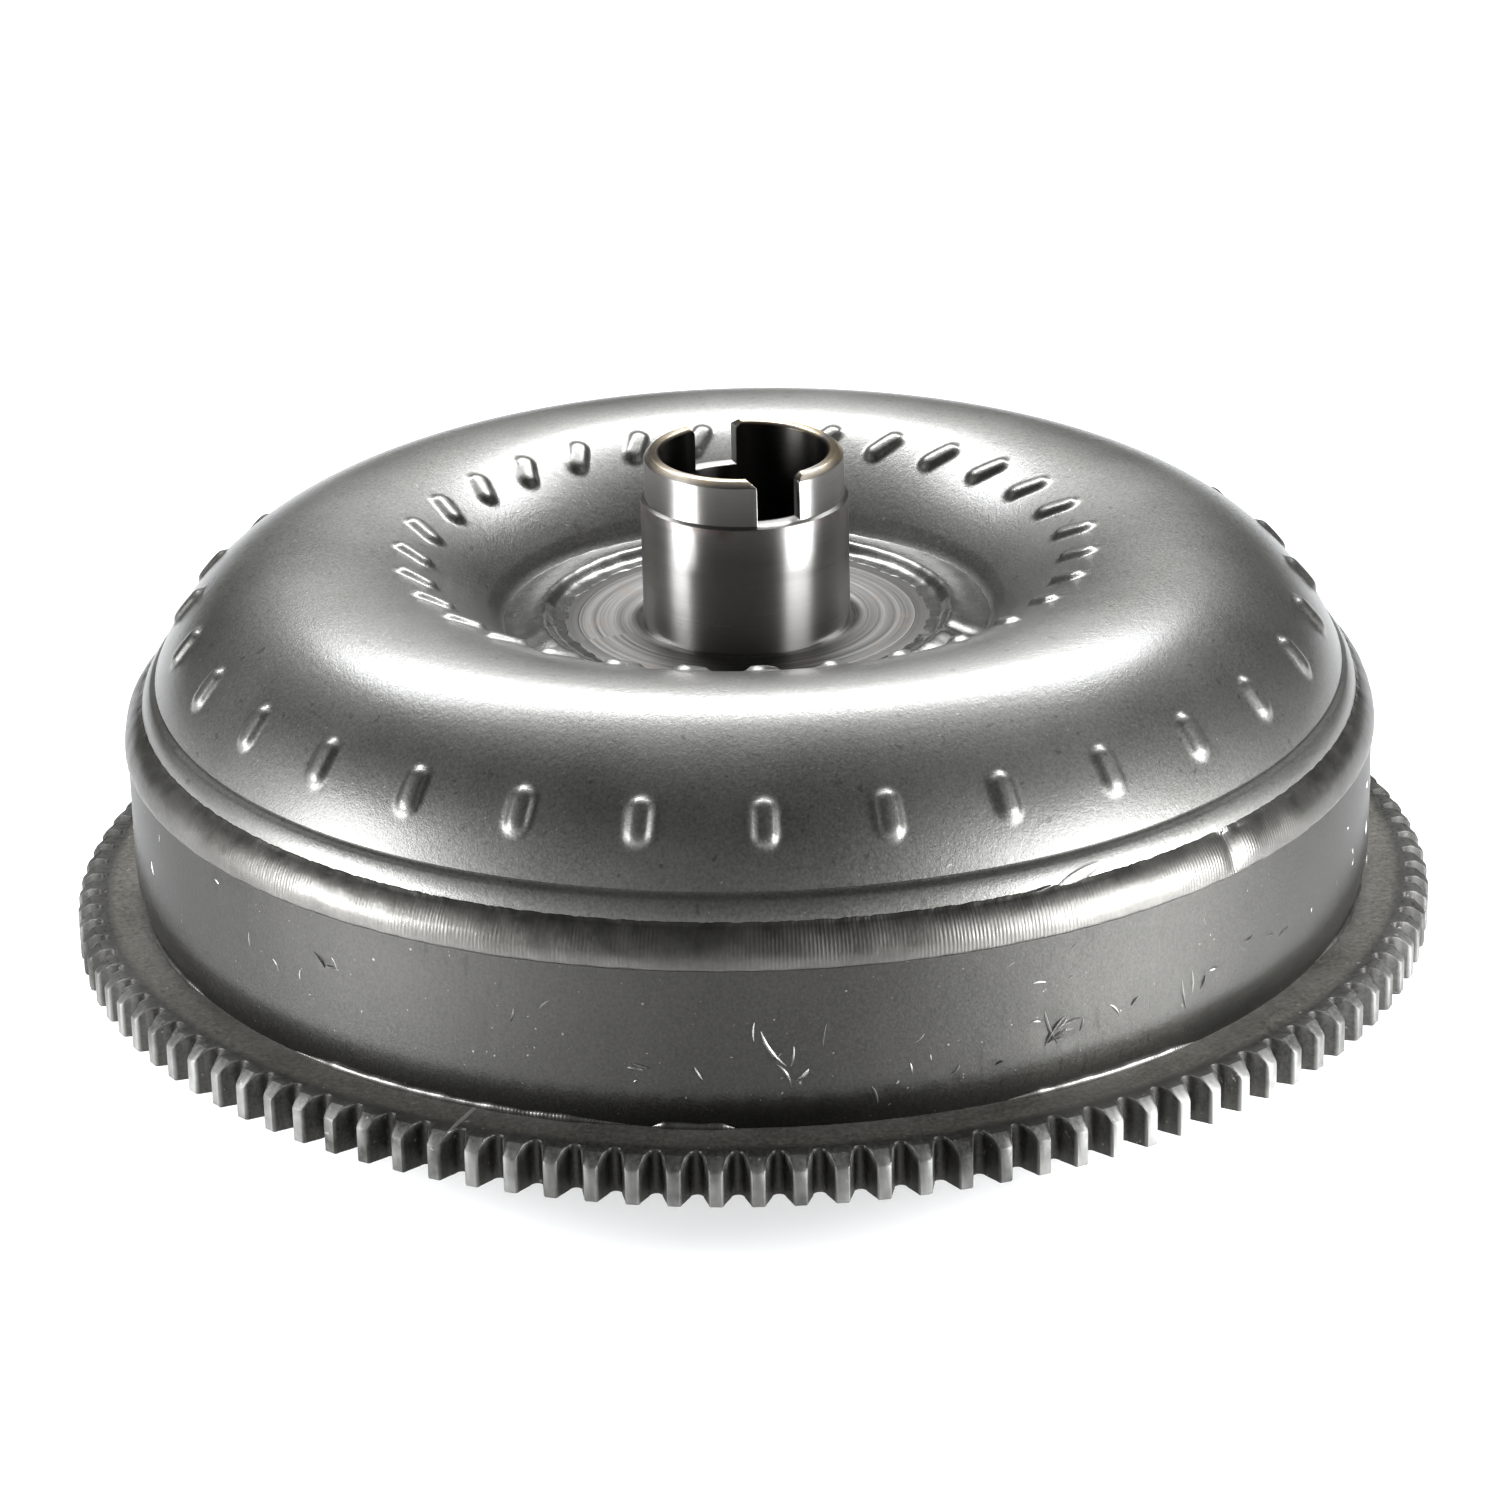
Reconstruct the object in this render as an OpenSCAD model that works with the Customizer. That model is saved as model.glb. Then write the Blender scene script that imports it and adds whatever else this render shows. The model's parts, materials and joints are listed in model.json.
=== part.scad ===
// Lock-up torque converter with a welded starter ring gear.
// +Z runs along the axis from the engine side to the transmission side.
// The origin is on the axis, in the plane of the drive pads that bolt to the flexplate.

/* [Mounting] */
// Height of the tapped drive pads on the front cover
pad_h = 11; // [9:0.5:14]
// Diameter of the bolt circle of the drive pads
bolt_circle_d = 203.2; // [190:0.2:206]
// Radius of the tapped holes at the thread's minor diameter
pad_hole_r = 4.25; // [3.4:0.05:5.2]
// Radius of the crankshaft pilot
pilot_r = 20; // [18:0.5:22]
// How far the pilot stands out past the drive pads
pilot_proud = 7; // [4:0.5:10]

/* [Ring gear] */
// Number of starter teeth
gear_teeth = 112; // [108:1:118]
// Module of the starter teeth
gear_module = 2.54; // [2.5:0.01:2.6]
// Width of the ring gear along the axis
gear_w = 9.5; // [8.5:0.5:9.5]

/* [Housing] */
// Outer radius of the cover's straight wall
wall_r = 131.5; // [131.5:0.5:133]
// Thickness of the pressed cover
cover_t = 4.5; // [4:0.1:4.6]
// Thickness of the pressed impeller shell
shell_t = 3.5; // [3:0.1:3.6]

/* [Pump hub] */
// Outer radius of the hub where the seal and the bush run
hub_r = 21.8; // [21:0.1:22.5]
// Bore radius of the hub
hub_bore_r = 17.5; // [16.5:0.1:18]
// Width of the two drive slots
slot_w = 9.3; // [8:0.1:10]
// Depth of the two drive slots
slot_depth = 9.5; // [7:0.5:9.5]

/* [Blading] */
// Number of impeller blades, which is also the number of dimples in each row
impeller_count = 31; // [25:1:31]
// Number of turbine blades
turbine_count = 29; // [23:1:29]
// Number of stator vanes
stator_count = 15; // [11:1:17]

/* [Hidden] */
$fn = 120;

steel = [0.35, 0.34, 0.32];
dark_steel = [0.25, 0.25, 0.25];
bright_steel = [0.72, 0.71, 0.68];
weld_steel = [0.5, 0.48, 0.45];
bronze = [0.72, 0.52, 0.28];
facing_brown = [0.3, 0.22, 0.15];
cast_alloy = [0.75, 0.76, 0.78];

// Heights: the ring gear's lower face is ring_z above the mounting plane.
ring_z = pad_h + 3;
face_z = pad_h;
floor_z = face_z + 5;
rim_z = ring_z + 45.5;
ledge_z = ring_z + 39.5;
mid_z = ring_z + 46;

// Ring gear
pitch_r = gear_teeth * gear_module / 2;
tip_r = pitch_r + 0.835 * gear_module;
root_r = pitch_r - 1.2 * gear_module;
tooth_pitch = 360 / gear_teeth;
gear_phase = 0.8;
gear_bore_r = 129;
gear_chamfer_r = 2.6;
gear_chamfer_z = 2.2;

// Cover
spigot_r = 16;
shoulder_r = wall_r - 2;
belly_r = 28.6;
belly_angle = 21.6;
belly_z = ring_z + 20;
skirt_r = 128.2;
wall_in_r = wall_r - cover_t;
floor_corner = 3;
nose_corner = 4;
pad_r = 13;
bush_r = 11;
bush_len = 9;
drill_r = 7;
drill_depth = 12;

// Welds: centre and radius of each bead's section
girth_weld_c = [127.5, ring_z + 45.6];
girth_weld_r = 5.2;
girth_weld_low = ring_z + 44.2;
hub_weld_r = 5.4;
tack_count = 8;
tack_span = 18;

// Dome: three arcs that meet with a common tangent, angles measured from +r
dome_c = [84, ring_z + 40];
dome_radii = [44.5, 38, 60];
dome_angles = [23, 67.6, 116.4, 134.8];
crest_c = blend_centre(dome_c, dome_radii[0] - dome_radii[1], dome_angles[1]);
inner_c = blend_centre(crest_c, dome_radii[1] - dome_radii[2], dome_angles[2]);
skirt_in_r = 124.1;
bead_r = 5.3;
bead_c = [skirt_r - bead_r, ring_z + 52];
lip_r = 50;

// Dimples: place on the arc, first turn, width, length and skew of each row
dimple_r = 3;
dimple_height = 1.2;
dimple_root = 2.2;
outer_row = [39.8, -4.3];
outer_len = 6.5;
inner_row = [115, -3];
inner_len = 5.5;
inner_skew = -30;

// Pump hub
flange_r = 46;
flange_z = ring_z + 57;
flange_top = ring_z + 65;
hub_top = ring_z + 102;
hub_step_z = hub_top - slot_depth;
hub_tip_r = hub_r - 0.9;
hub_weld_c = [46.3, flange_top - 3.5];
race_t = 1;
bearing_in_r = 26.5;
bearing_out_r = 34.8;

// Torus core, shared by the impeller and the turbine
core_c = [88, mid_z];
core_r = 15;
core_t = 1.2;
core_rise = core_r - 2.5;
core_drop = core_r - 3.5;
core_gap = 0.2;
blade_gap = 0.4;
blade_t = 1;

// Turbine
turb_c = [84, mid_z];
turb_out = [39.3, 29.5];
turb_in = [34, 29.5];
turb_t = 2;
turb_flange_z = ring_z + 22.5;
turb_flange_r = 34;
turb_hub_r = 33;
turb_hub_low = ring_z + 4.1;
turb_hub_top = ring_z + 30.9;
journal_r = 26;
nose_r = 9;
nose_len = 8;
rivet_circle_r = 42;
rivet_count = 12;
rivet_r = 2.5;
rivet_head_r = 4;
rivet_head_h = 1.5;
seal_groove = [ring_z + 7, ring_z + 9];
seal_groove_r = 24;
flange_seat_r = 30;
shaft_spline = [11, 12];
race_spline = [15, 16.2];

// Lock-up clutch and damper
piston_gap = 1.1;
facing_z = floor_z + piston_gap;
facing_t = 1.5;
piston_z = facing_z + facing_t;
piston_t = 3;
spring_count = 8;
spring_circle_r = 109;
spring_len = 40;
spring_r = 6;
wire_r = 1.5;
spring_z = ring_z + 14.4;
front_plate_z = ring_z + 9;
damper_flange_z = ring_z + 13.4;
rear_plate_z = ring_z + 17.2;
pin_circle_r = 111;
pin_r = 3;
pin_head_h = 0.8;
lug_w = 14;
lug_tip_r = 122;
damper_r = 118;
damper_flange_t = 2;
front_plate_t = 1.8;
rear_plate_t = 1.4;
rear_plate_in_r = 101;
stop_half_angle = 7.8;
piston_lip_r = 122.5;
piston_lip_top = ring_z + 13;
piston_sleeve_r = 29;
piston_sleeve_top = ring_z + 11;
facing_r = [97, 121];

// Stator and its one-way clutch
race_r = 25;
cam_z = ring_z + 35;
cam_h = 16;
cam_r = 37;
cap_t = 2;
cap_gap = 0.06;
snap_z = cam_z + cam_h + cap_t + 0.1;
snap_t = 1.2;
snap_gap_w = 6;
wheel_hub_r = 44;
wheel_rim_r = [68, 70.5];
wheel_hub_z = ring_z + 31.5;
wheel_hub_h = 24;
wheel_rim_z = ring_z + 36.5;
wheel_rim_h = 20;
roller_count = 8;
roller_r = 3.1;
roller_circle_r = race_r + roller_r + 0.05;
vane_z = ring_z + 37;
vane_len = 19;
spline_teeth = 24;
needle_count = 24;
needle_r = 0.95;
needle_z = ring_z + 55;

// Points of an arc, or of an oval when b is given, from angle a0 to a1
function arc(c, r, a0, a1, n = 16, b = 0) = [
    for (i = [0 : n])
        let (a = a0 + (a1 - a0) * i / n)
        [c[0] + r * cos(a), c[1] + (b == 0 ? r : b) * sin(a)]
];

// Centre of the next arc of a smooth chain
function blend_centre(c, dr, a) = [c[0] + dr * cos(a), c[1] + dr * sin(a)];

// The dome's line, moved inwards by inset
function dome_line(inset, a_start, a_end) = concat(
    arc(dome_c, dome_radii[0] - inset, a_start, dome_angles[1], 14),
    arc(crest_c, dome_radii[1] - inset, dome_angles[1], dome_angles[2], 14),
    arc(inner_c, dome_radii[2] - inset, dome_angles[2], a_end, 8)
);

// The turbine shell's line, moved inwards by inset
function turbine_line(inset, a_end) = concat(
    arc(turb_c, turb_out[0] - inset, -2, -90, 16, turb_out[1] - inset),
    arc(turb_c, turb_in[0] - inset, -90, a_end, 10, turb_in[1] - inset)
);

function reversed(list) = [for (i = [len(list) - 1 : -1 : 0]) list[i]];

module ring(r_in, r_out, z, h) {
    translate([0, 0, z])
        difference() {
            cylinder(r = r_out, h = h);
            translate([0, 0, -1]) cylinder(r = r_in, h = h + 2);
        }
}

module around(count, phase = 0) {
    for (i = [0 : count - 1]) rotate([0, 0, phase + i * 360 / count]) children();
}

// Internal spline: a round bore with grooves
module spline_cut(minor_r, major_r, z, h) {
    groove_w = 0.5 * 2 * PI * minor_r / spline_teeth;
    translate([0, 0, z]) {
        cylinder(r = minor_r, h = h);
        around(spline_teeth)
            translate([0, -groove_w / 2, 0]) cube([major_r, groove_w, h]);
    }
}

// ---- Housing ----

module cover_profile() {
    belly_c = [wall_r - belly_r, belly_z];
    polygon(concat(
        [[spigot_r, face_z]],
        arc([gear_bore_r - nose_corner, face_z + nose_corner], nose_corner, -90, 0, 8),
        [[gear_bore_r, ring_z + gear_w]],
        arc(belly_c, belly_r, -belly_angle, 0, 8),
        [[wall_r, rim_z], [skirt_r, rim_z], [skirt_r, ledge_z], [wall_in_r, ledge_z]],
        arc(belly_c, belly_r - cover_t, 0, -belly_angle, 8),
        arc([gear_bore_r - cover_t - floor_corner, floor_z + floor_corner], floor_corner, 0, -90, 8),
        [[spigot_r, floor_z]]
    ));
}

module front_cover() {
    color(steel) rotate_extrude() cover_profile();
}

module crank_pilot() {
    color(bright_steel)
        rotate_extrude()
            polygon([
                [0, -pilot_proud], [pilot_r - 1.5, -pilot_proud], [pilot_r, -pilot_proud + 1.5],
                [pilot_r, face_z], [spigot_r, face_z], [spigot_r, floor_z], [bush_r, floor_z],
                [bush_r, floor_z - bush_len], [drill_r, floor_z - bush_len],
                [drill_r, floor_z - drill_depth], [0, floor_z - drill_depth]
            ]);
}

module pilot_bush() {
    color(bronze) ring(nose_r + 0.05, bush_r, floor_z - bush_len, bush_len);
}

module drive_pads() {
    color(steel)
        around(4, 45)
            translate([bolt_circle_d / 2, 0, 0])
                difference() {
                    rotate_extrude()
                        polygon([[0, 0], [pad_r - 1, 0], [pad_r, 1], [pad_r, face_z], [0, face_z]]);
                    translate([0, 0, -1]) cylinder(r = pad_hole_r, h = face_z + 2);
                }
}

// One tooth space: straight 20 degree flanks and a rounded floor
module tooth_space() {
    half_pitch = PI * gear_module / 4;
    half_tip = half_pitch + (tip_r + 1 - pitch_r) * tan(20);
    half_floor = half_pitch - (pitch_r - root_r - 1.2) * tan(20);
    floor_c = root_r + half_floor;
    polygon(concat(
        [[tip_r + 1, -half_tip], [tip_r + 1, half_tip]],
        [for (i = [0 : 6]) [floor_c - half_floor * sin(i * 30), half_floor * cos(i * 30)]]
    ));
}

module ring_gear() {
    color(dark_steel)
        translate([0, 0, ring_z])
            difference() {
                rotate_extrude()
                    polygon([
                        [gear_bore_r, 0], [tip_r - 0.5, 0], [tip_r, 0.5],
                        [tip_r, gear_w - gear_chamfer_z], [tip_r - gear_chamfer_r, gear_w],
                        [gear_bore_r, gear_w]
                    ]);
                translate([0, 0, -1])
                    linear_extrude(gear_w + 2)
                        around(gear_teeth, gear_phase) tooth_space();
            }
}

module ring_gear_welds() {
    gear_top = ring_z + gear_w;
    color(weld_steel)
        around(tack_count, 12)
            rotate_extrude(angle = tack_span)
                difference() {
                    polygon([
                        [shoulder_r - 1, gear_top], [shoulder_r + 3, gear_top],
                        [shoulder_r + 1.8, gear_top + 2], [shoulder_r, gear_top + 4]
                    ]);
                    cover_profile();
                }
}

module girth_weld() {
    color(weld_steel)
        rotate_extrude()
            difference() {
                intersection() {
                    translate(girth_weld_c) circle(r = girth_weld_r);
                    translate([0, girth_weld_low]) square([tip_r, hub_top]);
                }
                cover_profile();
                square([skirt_r, hub_top]);
            }
}

// ---- Impeller ----

module shell_profile() {
    polygon(concat(
        [[skirt_r, ledge_z]],
        arc(bead_c, bead_r, 0, 58, 6),
        dome_line(0, dome_angles[0], dome_angles[3]),
        [[lip_r, flange_top], [flange_r, flange_top]],
        [[flange_r, flange_top - shell_t - 0.5], [lip_r + 0.5, flange_top - shell_t + 0.2]],
        reversed(dome_line(shell_t, 12, dome_angles[3])),
        [[skirt_in_r, ledge_z]]
    ));
}

// A raised capsule on the dome, with its underside cut flat inside the shell's thickness
module dimple(c, r_dome, angle, len, skew) {
    r_top = r_dome + dimple_height;
    translate([c[0] + r_top * cos(angle), 0, c[1] + r_top * sin(angle)])
        rotate([0, 90 - angle, 0])
            difference() {
                translate([0, 0, -dimple_r])
                    rotate([0, 0, skew])
                        rotate([0, 90, 0]) {
                            translate([0, 0, -len / 2]) cylinder(r = dimple_r, h = len);
                            translate([0, 0, -len / 2]) sphere(r = dimple_r);
                            translate([0, 0, len / 2]) sphere(r = dimple_r);
                        }
                translate([-len, -len, -dimple_height - dimple_root - 2 * dimple_r])
                    cube([2 * len, 2 * len, 2 * dimple_r]);
            }
}

module impeller_shell() {
    color(steel)
        union() {
            rotate_extrude() shell_profile();
            around(impeller_count, outer_row[1])
                dimple(dome_c, dome_radii[0], outer_row[0], outer_len, 0);
            around(impeller_count, inner_row[1])
                dimple(crest_c, dome_radii[1], inner_row[0], inner_len, inner_skew);
        }
}

module impeller_blade_profile() {
    root_low = [61, ring_z + 60.5];
    root_core = [72.2, ring_z + 57.5];
    polygon(concat(
        dome_line(shell_t + blade_gap, 10.5, 130),
        [root_low, root_core],
        arc(core_c, core_r + core_gap, 165, 7, 12, core_rise + core_gap)
    ));
}

// Upright plates on the radial planes, leaned by turning each about its radial line
module blade_row(count, lean, z_pivot) {
    around(count)
        translate([0, 0, z_pivot])
            rotate([lean, 0, 0])
                translate([0, blade_t / 2, -z_pivot])
                    rotate([90, 0, 0]) linear_extrude(blade_t) children();
}

module impeller_blades() {
    color(steel) blade_row(impeller_count, 5, ring_z + 60) impeller_blade_profile();
}

module impeller_core() {
    color(steel)
        rotate_extrude()
            polygon(concat(
                arc(core_c, core_r, 7, 173, 20, core_rise),
                arc(core_c, core_r - core_t, 173, 7, 20, core_rise - core_t)
            ));
}

module impeller_hub() {
    slot_chamfer = 1.3;
    color(bright_steel)
        difference() {
            rotate_extrude()
                polygon([
                    [hub_bore_r, flange_z], [flange_r, flange_z], [flange_r, flange_top],
                    [hub_r + 1.4, flange_top], [hub_r + 1, flange_top - 0.5],
                    [hub_r, flange_top - 0.5], [hub_r, hub_step_z - 0.5],
                    [hub_tip_r, hub_step_z], [hub_tip_r, hub_top - 1.2],
                    [hub_tip_r - 1.2, hub_top], [hub_bore_r + 0.6, hub_top],
                    [hub_bore_r, hub_top - 0.6]
                ]);
            translate([0, hub_r + 5, 0])
                rotate([90, 0, 0])
                    linear_extrude(2 * hub_r + 10)
                        polygon([
                            [-slot_w / 2, hub_step_z], [slot_w / 2, hub_step_z],
                            [slot_w / 2, hub_top - slot_chamfer],
                            [slot_w / 2 + slot_chamfer + 1, hub_top + 1],
                            [-slot_w / 2 - slot_chamfer - 1, hub_top + 1],
                            [-slot_w / 2, hub_top - slot_chamfer]
                        ]);
        }
}

module hub_weld() {
    color(weld_steel)
        rotate_extrude()
            difference() {
                translate(hub_weld_c) circle(r = hub_weld_r);
                shell_profile();
                square([lip_r + hub_weld_r, flange_top]);
            }
}

module hub_bearing_race() {
    color(bright_steel) ring(bearing_in_r, bearing_out_r + 0.7, flange_z - race_t, race_t);
}

// ---- Turbine ----

module turbine_shell() {
    color(steel)
        difference() {
            rotate_extrude()
                polygon(concat(
                    turbine_line(0, -130.3),
                    [[58, turb_flange_z], [turb_flange_r, turb_flange_z]],
                    [[turb_flange_r, turb_flange_z + turb_t], [59.5, turb_flange_z + turb_t]],
                    reversed(turbine_line(turb_t, -132))
                ));
            rivet_holes(turb_flange_z, turb_t);
        }
}

module turbine_blades() {
    root_shell = [59, ring_z + 27];
    root_top = [58, ring_z + 33];
    root_core = [72, ring_z + 34.5];
    color(steel)
        blade_row(turbine_count, -5, ring_z + 30)
            polygon(concat(
                turbine_line(turb_t + blade_gap, -130),
                [root_shell, root_top, root_core],
                arc(core_c, core_r + core_gap, -165, -7, 12, core_drop + core_gap)
            ));
}

module turbine_core() {
    color(steel)
        rotate_extrude()
            polygon(concat(
                arc(core_c, core_r, -7, -173, 20, core_drop),
                arc(core_c, core_r - core_t, -173, -7, 20, core_drop - core_t)
            ));
}

module rivet_holes(z, h) {
    around(rivet_count)
        translate([rivet_circle_r, 0, z - 1]) cylinder(r = rivet_r, h = h + 2);
}

module turbine_hub() {
    flange_low = damper_flange_z + damper_flange_t;
    color(bright_steel)
        difference() {
            rotate_extrude()
                polygon([
                    [0, floor_z - nose_len], [nose_r - 1, floor_z - nose_len],
                    [nose_r, floor_z - nose_len + 1], [nose_r, turb_hub_low],
                    [journal_r, turb_hub_low], [journal_r, seal_groove[0]],
                    [seal_groove_r, seal_groove[0]], [seal_groove_r, seal_groove[1]],
                    [journal_r, seal_groove[1]], [journal_r, damper_flange_z],
                    [flange_seat_r, damper_flange_z], [flange_seat_r, flange_low],
                    [50, flange_low], [50, turb_flange_z], [turb_flange_r, turb_flange_z],
                    [turb_flange_r, turb_flange_z + turb_t], [turb_hub_r, turb_flange_z + turb_t],
                    [turb_hub_r, turb_hub_top], [0, turb_hub_top]
                ]);
            spline_cut(shaft_spline[0], shaft_spline[1], seal_groove[1], turb_hub_top);
            rivet_holes(flange_low, turb_flange_z - flange_low);
        }
}

module turbine_rivets() {
    rear_z = turb_flange_z + turb_t;
    color(dark_steel)
        around(rivet_count)
            translate([rivet_circle_r, 0, 0]) {
                translate([0, 0, damper_flange_z])
                    cylinder(r = rivet_r, h = rear_z - damper_flange_z);
                translate([0, 0, damper_flange_z - rivet_head_h])
                    cylinder(r = rivet_head_r, h = rivet_head_h);
                translate([0, 0, rear_z]) cylinder(r = rivet_head_r, h = rivet_head_h);
            }
}

module turbine_front_washer() {
    color(bronze) ring(14, journal_r - 0.5, floor_z + 0.1, 2);
}

module piston_seal() {
    color(dark_steel)
        ring(seal_groove_r, journal_r, seal_groove[0] + 0.05, seal_groove[1] - seal_groove[0] - 0.1);
}

module spring_windows(z, h, depth) {
    around(spring_count)
        translate([spring_circle_r - depth / 2, -spring_len / 2 - 0.2, z - 1])
            cube([depth, spring_len + 0.4, h + 2]);
}

module damper_flange() {
    stop_in_r = pin_circle_r - pin_r - 0.5;
    color(steel)
        difference() {
            ring(flange_seat_r + 0.05, damper_r, damper_flange_z, damper_flange_t);
            spring_windows(damper_flange_z, damper_flange_t, 2 * spring_r + 0.4);
            around(spring_count, 22.5 - stop_half_angle)
                rotate_extrude(angle = 2 * stop_half_angle)
                    translate([stop_in_r, damper_flange_z - 1])
                        square([2 * pin_r + 1, damper_flange_t + 2]);
            rivet_holes(damper_flange_z, damper_flange_t);
        }
}

// ---- Damper and lock-up piston ----

module pin_holes(z, h) {
    around(spring_count, 22.5)
        translate([pin_circle_r, 0, z - 1]) cylinder(r = pin_r, h = h + 2);
}

module damper_front_plate() {
    color(steel)
        difference() {
            union() {
                ring(34, damper_r - 1, front_plate_z, front_plate_t);
                around(spring_count, 22.5)
                    translate([pin_circle_r - 1, -lug_w / 2, front_plate_z])
                        cube([lug_tip_r - pin_circle_r + 1, lug_w, front_plate_t]);
            }
            spring_windows(front_plate_z, front_plate_t, 2 * spring_r - 2.4);
            pin_holes(front_plate_z, front_plate_t);
        }
}

module damper_rear_plate() {
    color(steel)
        difference() {
            ring(rear_plate_in_r, damper_r, rear_plate_z, rear_plate_t);
            spring_windows(rear_plate_z, rear_plate_t, 2 * spring_r - 0.2);
            pin_holes(rear_plate_z, rear_plate_t);
        }
}

module damper_springs() {
    coil_pitch = 2.8;
    coil_count = floor((spring_len - 2 * wire_r) / coil_pitch);
    color(bright_steel)
        around(spring_count)
            translate([spring_circle_r, 0, spring_z])
                rotate([90, 0, 0])
                    translate([0, 0, -coil_count * coil_pitch / 2])
                        rotate_extrude($fn = 48) {
                            for (i = [0 : coil_count])
                                translate([spring_r - wire_r, i * coil_pitch])
                                    circle(r = wire_r, $fn = 24);
                            translate([spring_r - wire_r - 0.4, 0])
                                square([0.8, coil_count * coil_pitch]);
                        }
}

module damper_stop_pins() {
    color(bright_steel)
        around(spring_count, 22.5)
            translate([pin_circle_r, 0, 0]) {
                translate([0, 0, front_plate_z])
                    cylinder(r = pin_r, h = rear_plate_z + rear_plate_t - front_plate_z);
                translate([0, 0, front_plate_z - pin_head_h])
                    cylinder(r = pin_r + 1, h = pin_head_h);
                translate([0, 0, rear_plate_z + rear_plate_t])
                    cylinder(r = pin_r + 1, h = pin_head_h);
            }
}

module piston_plate() {
    color(steel)
        difference() {
            rotate_extrude()
                polygon([
                    [journal_r + 0.05, piston_z], [piston_lip_r, piston_z],
                    [piston_lip_r, piston_lip_top], [piston_lip_r - 2.5, piston_lip_top],
                    [piston_lip_r - 2.5, piston_z + piston_t],
                    [piston_sleeve_r, piston_z + piston_t],
                    [piston_sleeve_r, piston_sleeve_top], [journal_r + 0.05, piston_sleeve_top]
                ]);
            around(spring_count, 22.5)
                translate([damper_r, -lug_w / 2 - 0.3, piston_z + piston_t])
                    cube([10, lug_w + 0.6, 20]);
        }
}

module friction_facing() {
    color(facing_brown) ring(facing_r[0], facing_r[1], facing_z, facing_t);
}

// ---- Stator ----

// Aerofoil in the plane across a radius: thick nose, thin tail, curved camber
function vane_points(n = 12) = concat(
    [for (i = [0 : n]) let (s = i / n) [-vane_len * s, 11 * s * s - 5 + 6 * sqrt(s) * (1 - s) + 0.4]],
    [for (i = [n : -1 : 0]) let (s = i / n) [-vane_len * s, 11 * s * s - 5 - 4 * sqrt(s) * (1 - s) - 0.4]]
);

module stator_wheel() {
    color(cast_alloy)
        difference() {
            union() {
                ring(cam_r - 1.5, wheel_hub_r, wheel_hub_z, wheel_hub_h);
                ring(wheel_rim_r[0], wheel_rim_r[1], wheel_rim_z, wheel_rim_h);
                around(stator_count)
                    translate([wheel_hub_r - 1.5, 0, vane_z + vane_len])
                        rotate([0, 90, 0])
                            mirror([1, 0, 0])
                                linear_extrude(wheel_rim_r[0] - wheel_hub_r + 2.5)
                                    polygon(vane_points());
            }
            translate([0, 0, cam_z - cap_t]) cylinder(r = cam_r, h = 30);
            translate([0, 0, snap_z - 0.05]) cylinder(r = cam_r + 1.4, h = snap_t + 0.1);
        }
}

module clutch_cam() {
    color(bright_steel)
        translate([0, 0, cam_z])
            difference() {
                cylinder(r = cam_r, h = cam_h);
                translate([0, 0, -1]) cylinder(r = race_r + 1, h = cam_h + 2);
                around(roller_count)
                    translate([roller_circle_r + 0.1, 0, -1]) {
                        cylinder(r = roller_r + 0.25, h = cam_h + 2);
                        translate([-4, -10, 0]) cube([7, 10, cam_h + 2]);
                    }
            }
}

module clutch_rollers() {
    color(bright_steel)
        around(roller_count)
            translate([roller_circle_r, 0, cam_z + 0.2]) cylinder(r = roller_r, h = cam_h - 0.4);
}

// Accordion springs that push each roller up its ramp
module roller_springs() {
    fold_count = 6;
    fold_pitch = 1;
    strip_t = 0.4;
    near_r = race_r + 1.4;
    far_r = race_r + 5.6;
    folds = [for (i = [0 : fold_count]) [i % 2 == 0 ? near_r : far_r, -3.4 - i * fold_pitch]];
    color(bright_steel)
        around(roller_count)
            translate([0, 0, cam_z + 2])
                linear_extrude(cam_h - 4)
                    for (i = [1 : fold_count])
                        polygon([
                            folds[i - 1], folds[i],
                            folds[i] - [0, strip_t], folds[i - 1] - [0, strip_t]
                        ]);
}

module stator_front_cap() {
    color(bright_steel) ring(race_r + cap_gap, cam_r, cam_z - cap_t, cap_t);
}

module stator_rear_cap() {
    color(bright_steel) ring(race_r + cap_gap, cam_r, cam_z + cam_h, cap_t);
}

module stator_snap_ring() {
    color(dark_steel)
        difference() {
            ring(cam_r - 1.6, cam_r + 1.3, snap_z, snap_t);
            translate([race_r, -snap_gap_w / 2, cam_z]) cube([race_r, snap_gap_w, 2 * cam_h]);
        }
}

module stator_thrust_washer() {
    color(bronze) ring(bearing_in_r, bearing_out_r - 0.3, cam_z - 2 * cap_t, cap_t);
}

module stator_bearing_race() {
    color(bright_steel) ring(bearing_in_r, bearing_out_r, cam_z + cam_h + cap_t, race_t);
}

module stator_inner_race() {
    color(bright_steel)
        difference() {
            translate([0, 0, cam_z - cap_t + 0.2])
                cylinder(r = race_r, h = cam_h + 2 * cap_t - 0.4);
            spline_cut(race_spline[0], race_spline[1], cam_z - 5, 2 * cam_h);
        }
}

// ---- Thrust bearing between the stator and the impeller hub ----

module needle_cage() {
    color(bronze)
        difference() {
            ring(27, bearing_out_r - 0.2, needle_z - 0.7, 1.4);
            around(needle_count)
                translate([27.9, -needle_r - 0.1, needle_z - 2])
                    cube([5.8, 2 * needle_r + 0.2, 4]);
        }
}

module bearing_needles() {
    color(bright_steel)
        around(needle_count)
            translate([28, 0, needle_z])
                rotate([0, 90, 0]) cylinder(r = needle_r, h = 5.6, $fn = 24);
}

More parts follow.
